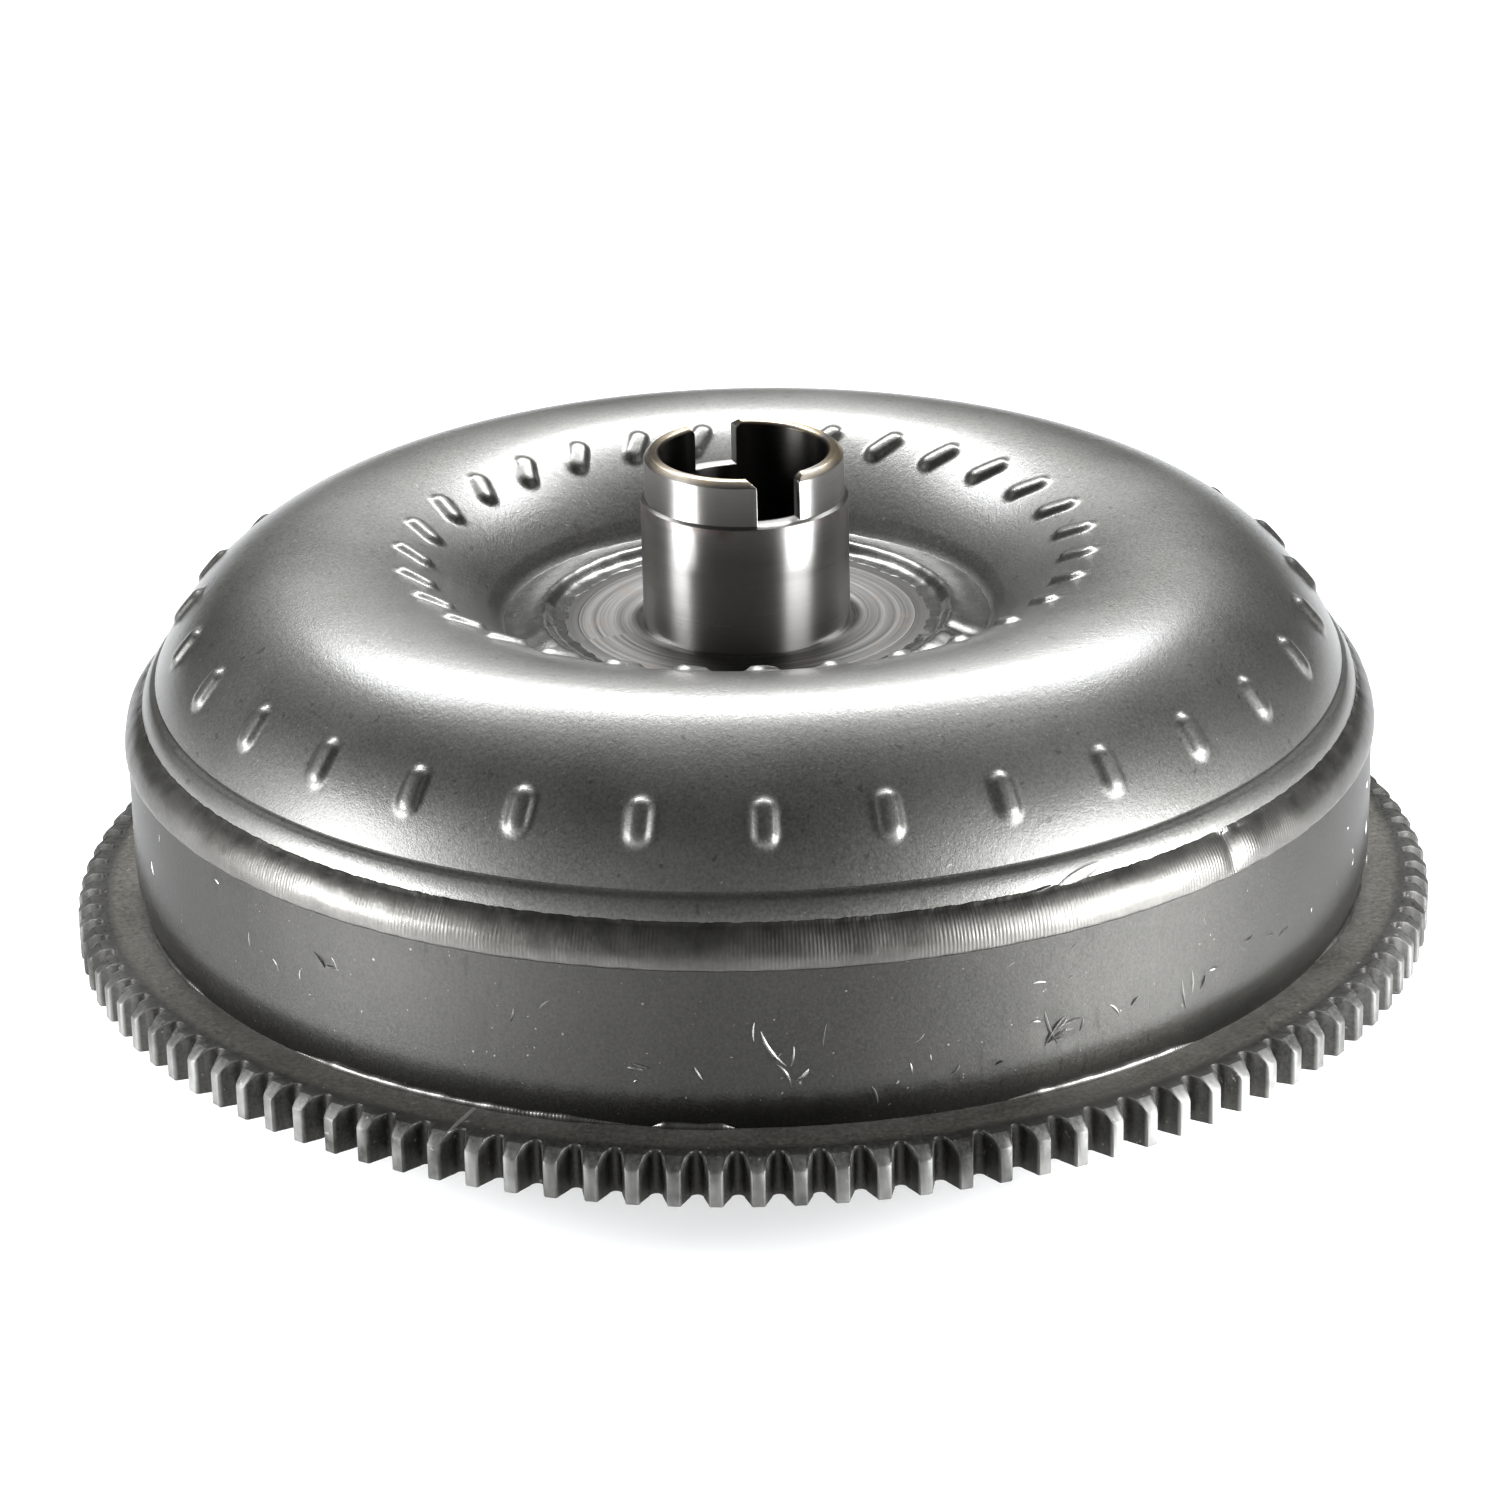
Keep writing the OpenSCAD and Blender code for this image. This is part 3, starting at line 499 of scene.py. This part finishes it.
def ring_gear():
    """Starter ring gear: stub teeth with a long lead-in chamfer on the dome side and broken edges."""
    pitch_r = TEETH * MODULE / 2
    root_r = pitch_r - 1.2 * MODULE
    half_space = math.pi * MODULE / 4
    bore_r = WALL_R - 2.5 * MM
    chamfer_r, chamfer_z = 2.6 * MM, 2.2 * MM
    half_floor = half_space - (pitch_r - root_r - 1.2 * MM) * math.tan(math.radians(20))
    floor_c = root_r + half_floor
    half_tip = half_space + (TIP_R - pitch_r) * math.tan(math.radians(20))
    edge = 0.35 * MM

    # One tooth space from its right tip corner to its left tip corner, as (x outwards, y across)
    space = [(TIP_R, -half_tip - edge * 0.6), (TIP_R - edge, -half_tip + edge * 0.25)]
    for i in range(5):
        t = (i + 1) / 6
        space.append((
            TIP_R - edge + (floor_c - TIP_R + edge) * t,
            -half_tip + (half_tip - half_floor) * t,
        ))
    for i in range(9):
        a = math.radians(-90 + 22.5 * i)
        space.append((floor_c - half_floor * math.cos(a), half_floor * math.sin(a)))
    space += [(x, -y) for x, y in reversed(space[:7])]

    profile = []
    for k in range(TEETH):
        turn = GEAR_PHASE + 2 * math.pi * k / TEETH
        wear = rng.uniform(-0.05, 0.05) * MM
        for x, y in space:
            worn = wear if x > TIP_R - 0.5 * MM else 0
            profile.append((math.hypot(x, y) + worn, turn + math.atan2(y, x)))
        tip_half = math.pi / TEETH - math.atan2(half_tip, TIP_R)
        profile.append((TIP_R + wear, turn + math.pi / TEETH - tip_half * 0.02))

    def top_z(r):
        return RING_TOP - max(0.0, (r - TIP_R + chamfer_r) / chamfer_r) * chamfer_z

    # Loops from the bore, over the top face, down the teeth and back along the lower face
    loops = []
    flat_r = root_r - 0.8 * MM
    mid_r = TIP_R - chamfer_r
    lead = 0.3 * MM

    def loop(rule):
        loops.append([rule(r, a) for r, a in profile])

    loop(lambda r, a: (bore_r, a, RING_Z + 0.4 * MM))
    loop(lambda r, a: (bore_r, a, RING_TOP - 0.3 * MM))
    loop(lambda r, a: (bore_r + 0.3 * MM, a, RING_TOP))
    loop(lambda r, a: (flat_r, a, RING_TOP))
    loop(lambda r, a: (min(r, mid_r) - lead, a, top_z(min(r, mid_r) - lead)))
    loop(lambda r, a: (r - lead, a, top_z(r - lead)))
    loop(lambda r, a: (r, a, top_z(r) - lead))
    loop(lambda r, a: (r, a, RING_Z + 0.3 * MM))
    loop(lambda r, a: (r - 0.3 * MM, a, RING_Z))
    loop(lambda r, a: (flat_r, a, RING_Z))
    loop(lambda r, a: (bore_r + 0.4 * MM, a, RING_Z))

    verts, faces = [], []
    count, rows = len(profile), len(loops)
    for line in loops:
        for r, a, z in line:
            verts.append((r * math.cos(a), r * math.sin(a), z))
    for i in range(rows):
        k = (i + 1) % rows
        for j in range(count):
            n = (j + 1) % count
            faces.append((i * count + j, i * count + n, k * count + n, k * count + j))
    mesh = mesh_from("ring_gear_cut", verts, faces)
    bm = bmesh.new()
    bm.from_mesh(mesh)
    bmesh.ops.remove_doubles(bm, verts=bm.verts, dist=0.01 * MM)
    bmesh.ops.recalc_face_normals(bm, faces=bm.faces)
    bm.to_mesh(mesh)
    bm.free()
    smooth(mesh, 32)
    return make_object("ring_gear_cut", mesh, "housing", "gear_steel", "ring_gear")


# Fillets between the ring gear and the cover: start and span, in degrees
FILLETS = [
    (-155, 34), (-119, 7), (-88, 20), (-48, 26), (-8, 20), (38, 30), (84, 22), (126, 32), (172, 18),
]


def ring_welds():
    """Thin uneven fillets that hold the ring gear to the cover."""
    bm = bmesh.new()
    seat_r = WALL_R - 2.0 * MM
    for start, span in FILLETS:
        steps = int(span * 3)
        rows = []
        for i in range(steps + 1):
            a = math.radians(start + span * i / steps)
            end = min(1.0, 6 * min(i, steps - i) / steps + 0.12)
            size = (1.15 + 0.06 * math.sin(i * 0.9) + 0.12 * math.sin(i * 0.37 + start)) * MM * end
            row = []
            for k in range(6):
                t = math.radians(90 * k / 5)
                swell = size * (0.8 + 0.25 * math.sin(2 * t))
                r = seat_r + swell * math.cos(t)
                z = RING_TOP + 1.35 * swell * math.sin(t)
                row.append(bm.verts.new((r * math.cos(a), r * math.sin(a), z)))
            inner = (seat_r - 0.6 * MM, RING_TOP - 0.2 * MM)
            row.append(bm.verts.new((inner[0] * math.cos(a), inner[0] * math.sin(a), inner[1])))
            rows.append(row)
        for line, after in zip(rows, rows[1:]):
            for k in range(7):
                n = (k + 1) % 7
                bm.faces.new((line[k], after[k], after[n], line[n]))
        bm.faces.new(rows[0])
        bm.faces.new(list(reversed(rows[-1])))
    bmesh.ops.recalc_face_normals(bm, faces=bm.faces)
    mesh = bpy.data.meshes.new("ring_gear_fillets")
    bm.to_mesh(mesh)
    bm.free()
    smooth(mesh, 60)
    return make_object("ring_gear_fillets", mesh, "housing", "weld_steel", "ring_gear_welds")


# ---------------------------------------------------------------- turned parts with broken edges

def break_edges(node, name, width, slot_name, body="housing", angle=25):
    """A copy of a CAD part with its hard edges rounded a little."""
    mesh = frame["nodes"][node].data.copy()
    mesh.name = name
    bm = bmesh.new()
    bm.from_mesh(mesh)
    bmesh.ops.remove_doubles(bm, verts=bm.verts, dist=0.002 * MM)
    bmesh.ops.dissolve_limit(bm, angle_limit=math.radians(0.6), verts=bm.verts, edges=bm.edges)
    limit = math.radians(angle)
    hard = [e for e in bm.edges if len(e.link_faces) == 2 and e.calc_face_angle() > limit]
    bmesh.ops.bevel(
        bm, geom=hard, offset=width, segments=2, profile=0.5, affect="EDGES", clamp_overlap=True
    )
    bmesh.ops.triangulate(bm, faces=[f for f in bm.faces if len(f.verts) > 4])
    bm.to_mesh(mesh)
    bm.free()
    smooth(mesh, 30)
    return make_object(name, mesh, body, slot_name, node)


# ---------------------------------------------------------------- materials

class Finish:
    """A node tree around one Principled shader."""

    def __init__(self, name):
        self.material = bpy.data.materials.new(name)
        self.material.use_nodes = True
        self.tree = self.material.node_tree
        self.shader = self.tree.nodes["Principled BSDF"]
        self.place = self.node("ShaderNodeTexCoord").outputs["Object"]

    def node(self, kind, **values):
        made = self.tree.nodes.new(kind)
        for key, value in values.items():
            setattr(made, key, value)
        return made

    def link(self, source, target):
        self.tree.links.new(source, target)

    def set(self, **values):
        for key, value in values.items():
            self.shader.inputs[key.replace("_", " ")].default_value = value

    def math(self, operation, a, b=None):
        made = self.node("ShaderNodeMath", operation=operation)
        for i, value in enumerate([a, b]):
            if value is None:
                continue
            if isinstance(value, (int, float)):
                made.inputs[i].default_value = value
            else:
                self.link(value, made.inputs[i])
        return made.outputs[0]

    def times(self, a, b):
        return self.math("MULTIPLY", a, b)

    def blend(self, a, b, part=0.5):
        """part of a, and the rest of b."""
        return self.math("ADD", self.times(a, part), self.times(b, 1 - part))

    def noise(self, scale, detail=3.0, rough=0.55, vector=None, stretch=None):
        vector = vector or self.place
        if stretch:
            mapping = self.node("ShaderNodeMapping")
            mapping.inputs["Scale"].default_value = stretch
            self.link(vector, mapping.inputs["Vector"])
            vector = mapping.outputs[0]
        made = self.node("ShaderNodeTexNoise")
        made.inputs["Scale"].default_value = scale
        made.inputs["Detail"].default_value = detail
        made.inputs["Roughness"].default_value = rough
        self.link(vector, made.inputs["Vector"])
        return made.outputs["Fac"]

    def spread(self, value, low, high, out_low=0.0, out_high=1.0):
        made = self.node("ShaderNodeMapRange")
        made.inputs["From Min"].default_value = low
        made.inputs["From Max"].default_value = high
        made.inputs["To Min"].default_value = out_low
        made.inputs["To Max"].default_value = out_high
        self.link(value, made.inputs["Value"])
        return made.outputs["Result"]

    def ramp(self, value, *stops):
        made = self.node("ShaderNodeValToRGB")
        line = made.color_ramp
        while len(line.elements) < len(stops):
            line.elements.new(0.5)
        for element, (place, colour) in zip(line.elements, stops):
            element.position = place
            element.color = (*colour, 1.0)
        self.link(value, made.inputs["Fac"])
        return made.outputs["Color"]

    def mix(self, factor, a, b):
        made = self.node("ShaderNodeMix", data_type="RGBA")
        self.link(factor, made.inputs["Factor"])
        for socket, value in ((made.inputs["A"], a), (made.inputs["B"], b)):
            if isinstance(value, tuple):
                socket.default_value = (*value, 1.0)
            else:
                self.link(value, socket)
        return made.outputs["Result"]

    def bump(self, height, strength, distance, under=None):
        made = self.node("ShaderNodeBump")
        made.inputs["Strength"].default_value = strength
        made.inputs["Distance"].default_value = distance
        self.link(height, made.inputs["Height"])
        if under:
            self.link(under, made.inputs["Normal"])
        return made.outputs["Normal"]

    def axes(self):
        """X, Y and Z of a point, and its distance from the axis."""
        parts = self.node("ShaderNodeSeparateXYZ")
        self.link(self.place, parts.inputs[0])
        x, y, z = parts.outputs
        square = self.math("ADD", self.times(x, x), self.times(y, y))
        return x, y, z, self.math("SQRT", square)

    def polar(self, round_scale=1.0):
        """Vector of (turn, radius, height): textures on it run round the axis."""
        x, y, z, radius = self.axes()
        turn = self.times(self.math("ARCTAN2", y, x), round_scale)
        joined = self.node("ShaderNodeCombineXYZ")
        for value, socket in zip((turn, radius, z), joined.inputs):
            self.link(value, socket)
        return joined.outputs[0]

    def radius(self):
        return self.axes()[3]

    def height(self):
        return self.axes()[2]

    def finish(self, colour, roughness, normal=None):
        self.link(colour, self.shader.inputs["Base Color"])
        self.link(roughness, self.shader.inputs["Roughness"])
        if normal:
            self.link(normal, self.shader.inputs["Normal"])
            self.link(normal, self.shader.inputs["Coat Normal"])
        return self.material


def pressed_steel(name, light, dark, rough, coat=0.6, rub=0.0):
    """Satin mill-finish sheet: warm dark grey, fine orange peel, specks and faint upright rubs."""
    f = Finish(name)
    f.set(Metallic=0.92, Specular_Tint=(0.45, 0.45, 0.45, 1.0), Coat_Weight=coat, Coat_Roughness=0.2)
    broad = f.noise(14, 4.0, 0.6)
    speck = f.noise(1500, 2.0, 0.7)
    tone = f.ramp(f.blend(broad, speck), (0.36, dark), (0.64, light))
    bright = f.spread(f.noise(980, 1.0, 0.5), 0.765, 0.80)
    pits = f.spread(f.noise(420, 1.0, 0.5), 0.70, 0.76)
    tone = f.mix(f.times(bright, 0.4), tone, (0.36, 0.35, 0.33))
    tone = f.mix(f.times(pits, 0.45), tone, (0.045, 0.04, 0.035))
    grain = f.spread(broad, 0.3, 0.7, rough - 0.05, rough + 0.05)
    roughness = f.math("ADD", grain, f.times(speck, 0.10))
    if rub:
        streaks = f.spread(f.noise(1.0, 3.0, 0.6, None, (620, 620, 130)), 0.58, 0.68)
        patch = f.times(streaks, f.spread(f.noise(24, 3.0, 0.6), 0.54, 0.62))
        tone = f.mix(f.times(patch, rub), tone, (0.012, 0.011, 0.010))
    peel = f.bump(f.noise(700, 2.0, 0.5), 0.32, 0.10 * MM)
    normal = f.bump(f.noise(2300, 2.0, 0.6), 0.75, 0.05 * MM, peel)
    return f.finish(tone, roughness, normal)


def weld_metal(name, light, dark, rough, ripple_bump, dirt=0.2):
    """Fused bead: smooth bright metal with fine swirls and patches of soot."""
    f = Finish(name)
    f.set(Metallic=0.95, Specular_Tint=(0.6, 0.6, 0.6, 1.0), Coat_Weight=0.35, Coat_Roughness=0.18)
    broad = f.noise(55, 4.0, 0.6)
    swirl = f.noise(1.0, 3.0, 0.6, f.polar(), (170, 500, 500))
    tone = f.ramp(f.blend(broad, swirl, 0.6), (0.3, dark), (0.7, light))
    soot = f.spread(f.noise(190, 3.0, 0.6), 0.60, 0.70)
    tone = f.mix(f.times(soot, dirt), tone, (0.04, 0.036, 0.031))
    roughness = f.spread(f.noise(160, 3.0, 0.6), 0.3, 0.7, rough - 0.2 * dirt, rough + 0.6 * dirt)
    normal = f.bump(swirl, ripple_bump * 0.25, 0.15 * MM)
    normal = f.bump(f.noise(1500, 2.0), ripple_bump * 0.3, 0.04 * MM, normal)
    normal = f.bump(f.noise(330, 3.0, 0.55), ripple_bump * 0.5, 0.12 * MM, normal)
    wave = f.node("ShaderNodeTexWave", bands_direction="X")
    for socket, value in (("Scale", 52.0), ("Distortion", 3.0), ("Detail", 2.0), ("Detail Scale", 0.6)):
        wave.inputs[socket].default_value = value
    f.link(f.polar(), wave.inputs["Vector"])
    patchy = f.times(wave.outputs["Fac"], f.spread(broad, 0.42, 0.62))
    normal = f.bump(patchy, ripple_bump * 0.35, 0.10 * MM, normal)
    return f.finish(tone, roughness, normal)


def turned_steel(name, light, dark, rough):
    """Bright machined steel: fine tool marks that run round the axis."""
    f = Finish(name)
    f.set(Metallic=1.0)
    lines = f.noise(1.0, 4.0, 0.7, f.polar(0.02), (40, 5200, 5200))
    broad = f.noise(60, 3.0)
    stain = f.spread(f.noise(120, 4.0, 0.65), 0.60, 0.75)
    tone = f.ramp(f.blend(lines, broad), (0.35, dark), (0.65, light))
    grain = f.spread(lines, 0.3, 0.7, rough - 0.05, rough + 0.07)
    roughness = f.math("ADD", grain, f.times(stain, 0.10))
    normal = f.bump(lines, 0.22, 0.02 * MM)
    return f.finish(tone, roughness, normal)


def hub_steel():
    """Ground pump journal: heat-tinted rim, a faint rust line under the step, and a turned flange."""
    f = Finish("hub_steel_look")
    f.set(Metallic=1.0, Anisotropic_Rotation=0.25, Specular_Tint=(0.4, 0.4, 0.4, 1.0))
    f.link(f.spread(f.radius(), 23.5 * MM, 25 * MM, 0.8, 0.25), f.shader.inputs["Anisotropic"])
    tangent = f.node("ShaderNodeTangent", direction_type="RADIAL", axis="Z")
    f.link(tangent.outputs[0], f.shader.inputs["Tangent"])
    where = f.polar(0.02)
    lines = f.noise(1.0, 4.0, 0.7, where, (30, 5200, 5200))
    broad = f.noise(45, 3.0)
    dark, light = (0.28, 0.272, 0.262), (0.38, 0.370, 0.358)
    tone = f.ramp(f.blend(lines, broad, 0.4), (0.3, dark), (0.7, light))
    z = f.height()
    rim = f.spread(z, HUB_TOP - 1.4 * MM, HUB_TOP - 0.5 * MM)
    gold = f.times(rim, f.spread(f.noise(160, 3.0), 0.35, 0.6))
    tone = f.mix(f.times(gold, 0.8), tone, (0.62, 0.50, 0.33))
    step_z = HUB_TOP - 9.5 * MM
    band = f.times(
        f.spread(z, step_z - 3.2 * MM, step_z - 1.2 * MM),
        f.spread(z, step_z - 0.9 * MM, step_z - 0.3 * MM, 1.0, 0.0),
    )
    rust = f.times(band, f.spread(f.noise(210, 4.0, 0.7), 0.46, 0.68))
    tone = f.mix(f.times(rust, 0.55), tone, (0.20, 0.10, 0.08))
    spot = f.spread(f.noise(190, 2.0, 0.6), 0.735, 0.765)
    tone = f.mix(f.times(spot, 0.6), tone, (0.12, 0.075, 0.05))
    painted_bore_shade = f.spread(f.radius(), 17.7 * MM, 18.3 * MM, 1.0, 0.0)  # painted shade: the inside of the bore is darkened to near black
    tone = f.mix(f.times(painted_bore_shade, 0.85), tone, (0.025, 0.023, 0.021))
    disc = f.spread(f.radius(), 24 * MM, 25 * MM)  # the turned flange round the journal
    rings = f.noise(1.0, 3.0, 0.65, where, (12, 950, 950))
    tone = f.mix(f.times(disc, f.spread(rings, 0.35, 0.65, 1.0, 0.55)), tone, (0.085, 0.083, 0.079))
    stain = f.spread(f.noise(95, 4.0, 0.65), 0.54, 0.68)
    tone = f.mix(f.times(f.times(stain, disc), 0.5), tone, (0.17, 0.135, 0.11))
    scale = f.spread(f.radius(), 35.4 * MM, 35.8 * MM)  # darker outside the turned disc
    tone = f.mix(f.times(scale, 0.75), tone, (0.075, 0.073, 0.070))
    worn = f.math("ADD", f.times(rust, 0.25), f.times(disc, 0.10))
    roughness = f.math("ADD", f.spread(lines, 0.3, 0.7, 0.27, 0.36), worn)
    normal = f.bump(lines, 0.18, 0.02 * MM)
    normal = f.bump(f.times(rings, disc), 0.5, 0.08 * MM, normal)
    normal = f.bump(f.spread(f.radius(), 35.4 * MM, 35.7 * MM, 1.0, 0.0), 0.8, 0.25 * MM, normal)
    return f.finish(tone, roughness, normal)


def gear_steel():
    """Phosphated, oiled starter teeth: dark grey with worn lighter edges."""
    f = Finish("gear_steel_look")
    f.set(Metallic=0.6, Specular_IOR_Level=0.2, Specular_Tint=(0.35, 0.35, 0.35, 1.0))
    broad = f.noise(40, 4.0, 0.65)
    speck = f.noise(1300, 2.0, 0.6)
    dark, light = (0.020, 0.0195, 0.018), (0.056, 0.054, 0.050)
    tone = f.ramp(f.blend(broad, speck), (0.35, dark), (0.68, light))
    # Partly dust, partly painted light: the ring's flat top face is painted lighter than the teeth.
    flat = f.spread(f.radius(), TIP_R - 8 * MM, TIP_R - 6 * MM, 1.0, 0.0)
    dust_and_painted_top_light = f.times(flat, f.spread(f.noise(900, 4.0, 0.7), 0.25, 0.75))
    tone = f.mix(f.times(dust_and_painted_top_light, 0.6), tone, (0.165, 0.155, 0.132))
    geometry = f.node("ShaderNodeNewGeometry")
    worn = f.times(f.spread(geometry.outputs["Pointiness"], 0.53, 0.60), f.spread(broad, 0.35, 0.6))
    tone = f.mix(f.times(worn, 0.6), tone, (0.34, 0.34, 0.33))
    flecks = f.spread(f.noise(520, 2.0, 0.6), 0.70, 0.76)
    tone = f.mix(f.times(flecks, 0.4), tone, (0.30, 0.28, 0.26))
    roughness = f.spread(speck, 0.3, 0.7, 0.40, 0.62)
    normal = f.bump(f.noise(900, 3.0, 0.6), 0.35, 0.08 * MM)
    return f.finish(tone, roughness, normal)


def plain_metal(name, light, dark, rough, metallic=1.0, scale=260.0):
    """Other metals and coatings: tone and roughness vary at two scales."""
    f = Finish(name)
    f.set(Metallic=metallic)
    broad = f.noise(scale * 0.2, 4.0, 0.6)
    fine = f.noise(scale * 6, 3.0, 0.6)
    tone = f.ramp(f.blend(broad, fine, 0.6), (0.3, dark), (0.7, light))
    roughness = f.spread(fine, 0.3, 0.7, rough - 0.06, rough + 0.10)
    normal = f.bump(fine, 0.3, 0.05 * MM)
    return f.finish(tone, roughness, normal)


def assign(obj, material):
    obj.data.materials.clear()
    obj.data.materials.append(material)


# ---------------------------------------------------------------- build

shell_look = pressed_steel("shell_steel_look", (0.150, 0.147, 0.139), (0.086, 0.084, 0.078), 0.43)
cover_look = pressed_steel(
    "cover_steel_look", (0.042, 0.0405, 0.0365), (0.021, 0.0202, 0.018), 0.38, coat=0.3, rub=0.5
)
inner_look = pressed_steel("pressed_steel_look", (0.36, 0.35, 0.34), (0.24, 0.235, 0.23), 0.36)
weld_look = weld_metal("weld_steel_look", (0.105, 0.101, 0.094), (0.056, 0.054, 0.049), 0.42, 0.9)
hub_weld_look = weld_metal(
    "hub_weld_look", (0.105, 0.102, 0.098), (0.078, 0.076, 0.072), 0.27, 0.05, dirt=0.02
)
burr_look = weld_metal("burr_look", (0.34, 0.335, 0.32), (0.10, 0.097, 0.09), 0.36, 0.3)
turned_look = turned_steel("turned_steel_look", (0.60, 0.59, 0.57), (0.40, 0.39, 0.38), 0.28)
spring_look = plain_metal("spring_steel_look", (0.20, 0.20, 0.21), (0.10, 0.10, 0.11), 0.30)
bronze_look = turned_steel("bronze_look", (0.72, 0.50, 0.26), (0.52, 0.34, 0.17), 0.32)
alloy_look = plain_metal("cast_alloy_look", (0.62, 0.63, 0.64), (0.46, 0.47, 0.48), 0.42)
facing_look = plain_metal(
    "facing_look", (0.16, 0.11, 0.07), (0.08, 0.055, 0.035), 0.85, metallic=0.0, scale=500.0
)
seal_look = plain_metal("seal_ring_look", (0.03, 0.03, 0.03), (0.012, 0.012, 0.012), 0.6, metallic=0.0)

LOOKS = {
    "cover_steel": cover_look, "shell_steel": shell_look, "pad_steel": cover_look,
    "gear_steel": gear_steel(), "weld_steel": weld_look, "hub_steel": hub_steel(),
    "turned_steel": turned_look, "pressed_steel": inner_look, "spring_steel": spring_look,
    "bronze": bronze_look, "facing": facing_look, "cast_alloy": alloy_look, "seal_ring": seal_look,
}
for part in frame["record"]["subparts"]:
    assign(frame["nodes"][part["node"]], LOOKS[part["material_slot"]])

assign(impeller_shell(), shell_look)
assign(front_cover(), cover_look)
assign(girth_weld(), weld_look)
assign(weld_spatter(), burr_look)
assign(torn_marks(), burr_look)
assign(hub_weld(), hub_weld_look)
assign(ring_gear(), LOOKS["gear_steel"])
assign(ring_welds(), weld_look)
assign(break_edges("impeller_hub", "impeller_hub_ground", 0.25 * MM, "hub_steel"), LOOKS["hub_steel"])
assign(break_edges("crank_pilot", "crank_pilot_turned", 0.3 * MM, "turned_steel"), turned_look)
assign(break_edges("drive_pads", "drive_pads_tapped", 0.3 * MM, "pad_steel"), cover_look)


# ---------------------------------------------------------------- floor, light and camera

def studio_floor():
    mesh = mesh_from("studio_floor", [(-9, -9, 0), (9, -9, 0), (9, 9, 0), (-9, 9, 0)], [(0, 1, 2, 3)])
    floor = bpy.data.objects.new("studio_floor", mesh)
    floor.location.z = FLOOR_Z
    bpy.context.scene.collection.objects.link(floor)
    f = Finish("studio_floor_paper")
    f.set(Metallic=0.0, Emission_Color=(1.0, 1.0, 1.0, 1.0), Emission_Strength=0.45)
    tone = f.ramp(f.noise(3.0, 2.0), (0.3, (0.60, 0.60, 0.60)), (0.7, (0.62, 0.62, 0.62)))
    roughness = f.spread(f.noise(30.0), 0.3, 0.7, 0.8, 0.9)
    assign(floor, f.finish(tone, roughness))


CAMERA_TURN = math.radians(-110)
AIM = Vector((0, 0, 48.1 * MM))


def soft_box(name, turn, elevation, distance, width, height, power, aim=AIM):
    """Rectangular studio light. turn is counted from the camera's side, positive to the right."""
    a = CAMERA_TURN + math.radians(turn)
    e = math.radians(elevation)
    where = aim + distance * Vector((math.cos(a) * math.cos(e), math.sin(a) * math.cos(e), math.sin(e)))
    light = bpy.data.lights.new(name, "AREA")
    light.shape = "RECTANGLE"
    light.size = width
    light.size_y = height
    light.energy = power
    light.color = (0.96, 0.98, 1.0)
    lamp = bpy.data.objects.new(name, light)
    lamp.location = where
    lamp.rotation_mode = "QUATERNION"
    lamp.rotation_quaternion = (aim - where).to_track_quat("-Z", "Y")
    bpy.context.scene.collection.objects.link(lamp)


def floor_glow(name, turn, power):
    """Small lamp close above the floor: the wall mirrors the bright patch that it makes."""
    a = CAMERA_TURN + math.radians(turn)
    patch = Vector((0.26 * math.cos(a), 0.26 * math.sin(a), FLOOR_Z))
    soft_box(name, 0, 90, 0.09, 0.12, 0.10, power, patch)


def photo_camera():
    elevation, distance, roll = math.radians(22.74), 1122.6 * MM, math.radians(-1.255)
    where = AIM + distance * Vector((
        math.cos(CAMERA_TURN) * math.cos(elevation),
        math.sin(CAMERA_TURN) * math.cos(elevation),
        math.sin(elevation),
    ))
    data = bpy.data.cameras.new("photo_camera")
    data.lens = 126.28
    data.sensor_width = 36
    data.clip_start = 0.05
    data.clip_end = 50
    camera = bpy.data.objects.new("photo_camera", data)
    camera.location = where
    camera.rotation_mode = "QUATERNION"
    look = (AIM - where).to_track_quat("-Z", "Y")
    camera.rotation_quaternion = look @ Quaternion((0, 0, 1), roll)
    bpy.context.scene.collection.objects.link(camera)
    bpy.context.scene.camera = camera


def studio_world():
    world = bpy.data.worlds.new("studio_world")
    world.use_nodes = True
    world.node_tree.nodes["Background"].inputs["Color"].default_value = (1, 1, 1, 1)
    world.node_tree.nodes["Background"].inputs["Strength"].default_value = 0.03
    bpy.context.scene.world = world
    bpy.context.scene.view_settings.view_transform = "Standard"


studio_floor()
studio_world()
photo_camera()
soft_box("top_box", 180, 52, 1.3, 1.40, 0.42, 44)
soft_box("right_box", 58, 18, 1.2, 0.60, 0.45, 10)
soft_box("left_box", -76, 16, 1.2, 0.45, 0.40, 9)
soft_box("right_card", 60, 2, 0.6, 0.30, 0.10, 5)
soft_box("left_card", -68, 2, 0.6, 0.26, 0.10, 2.6)
floor_glow("right_glow", 52, 1.6)
floor_glow("left_glow", -52, 1.0)
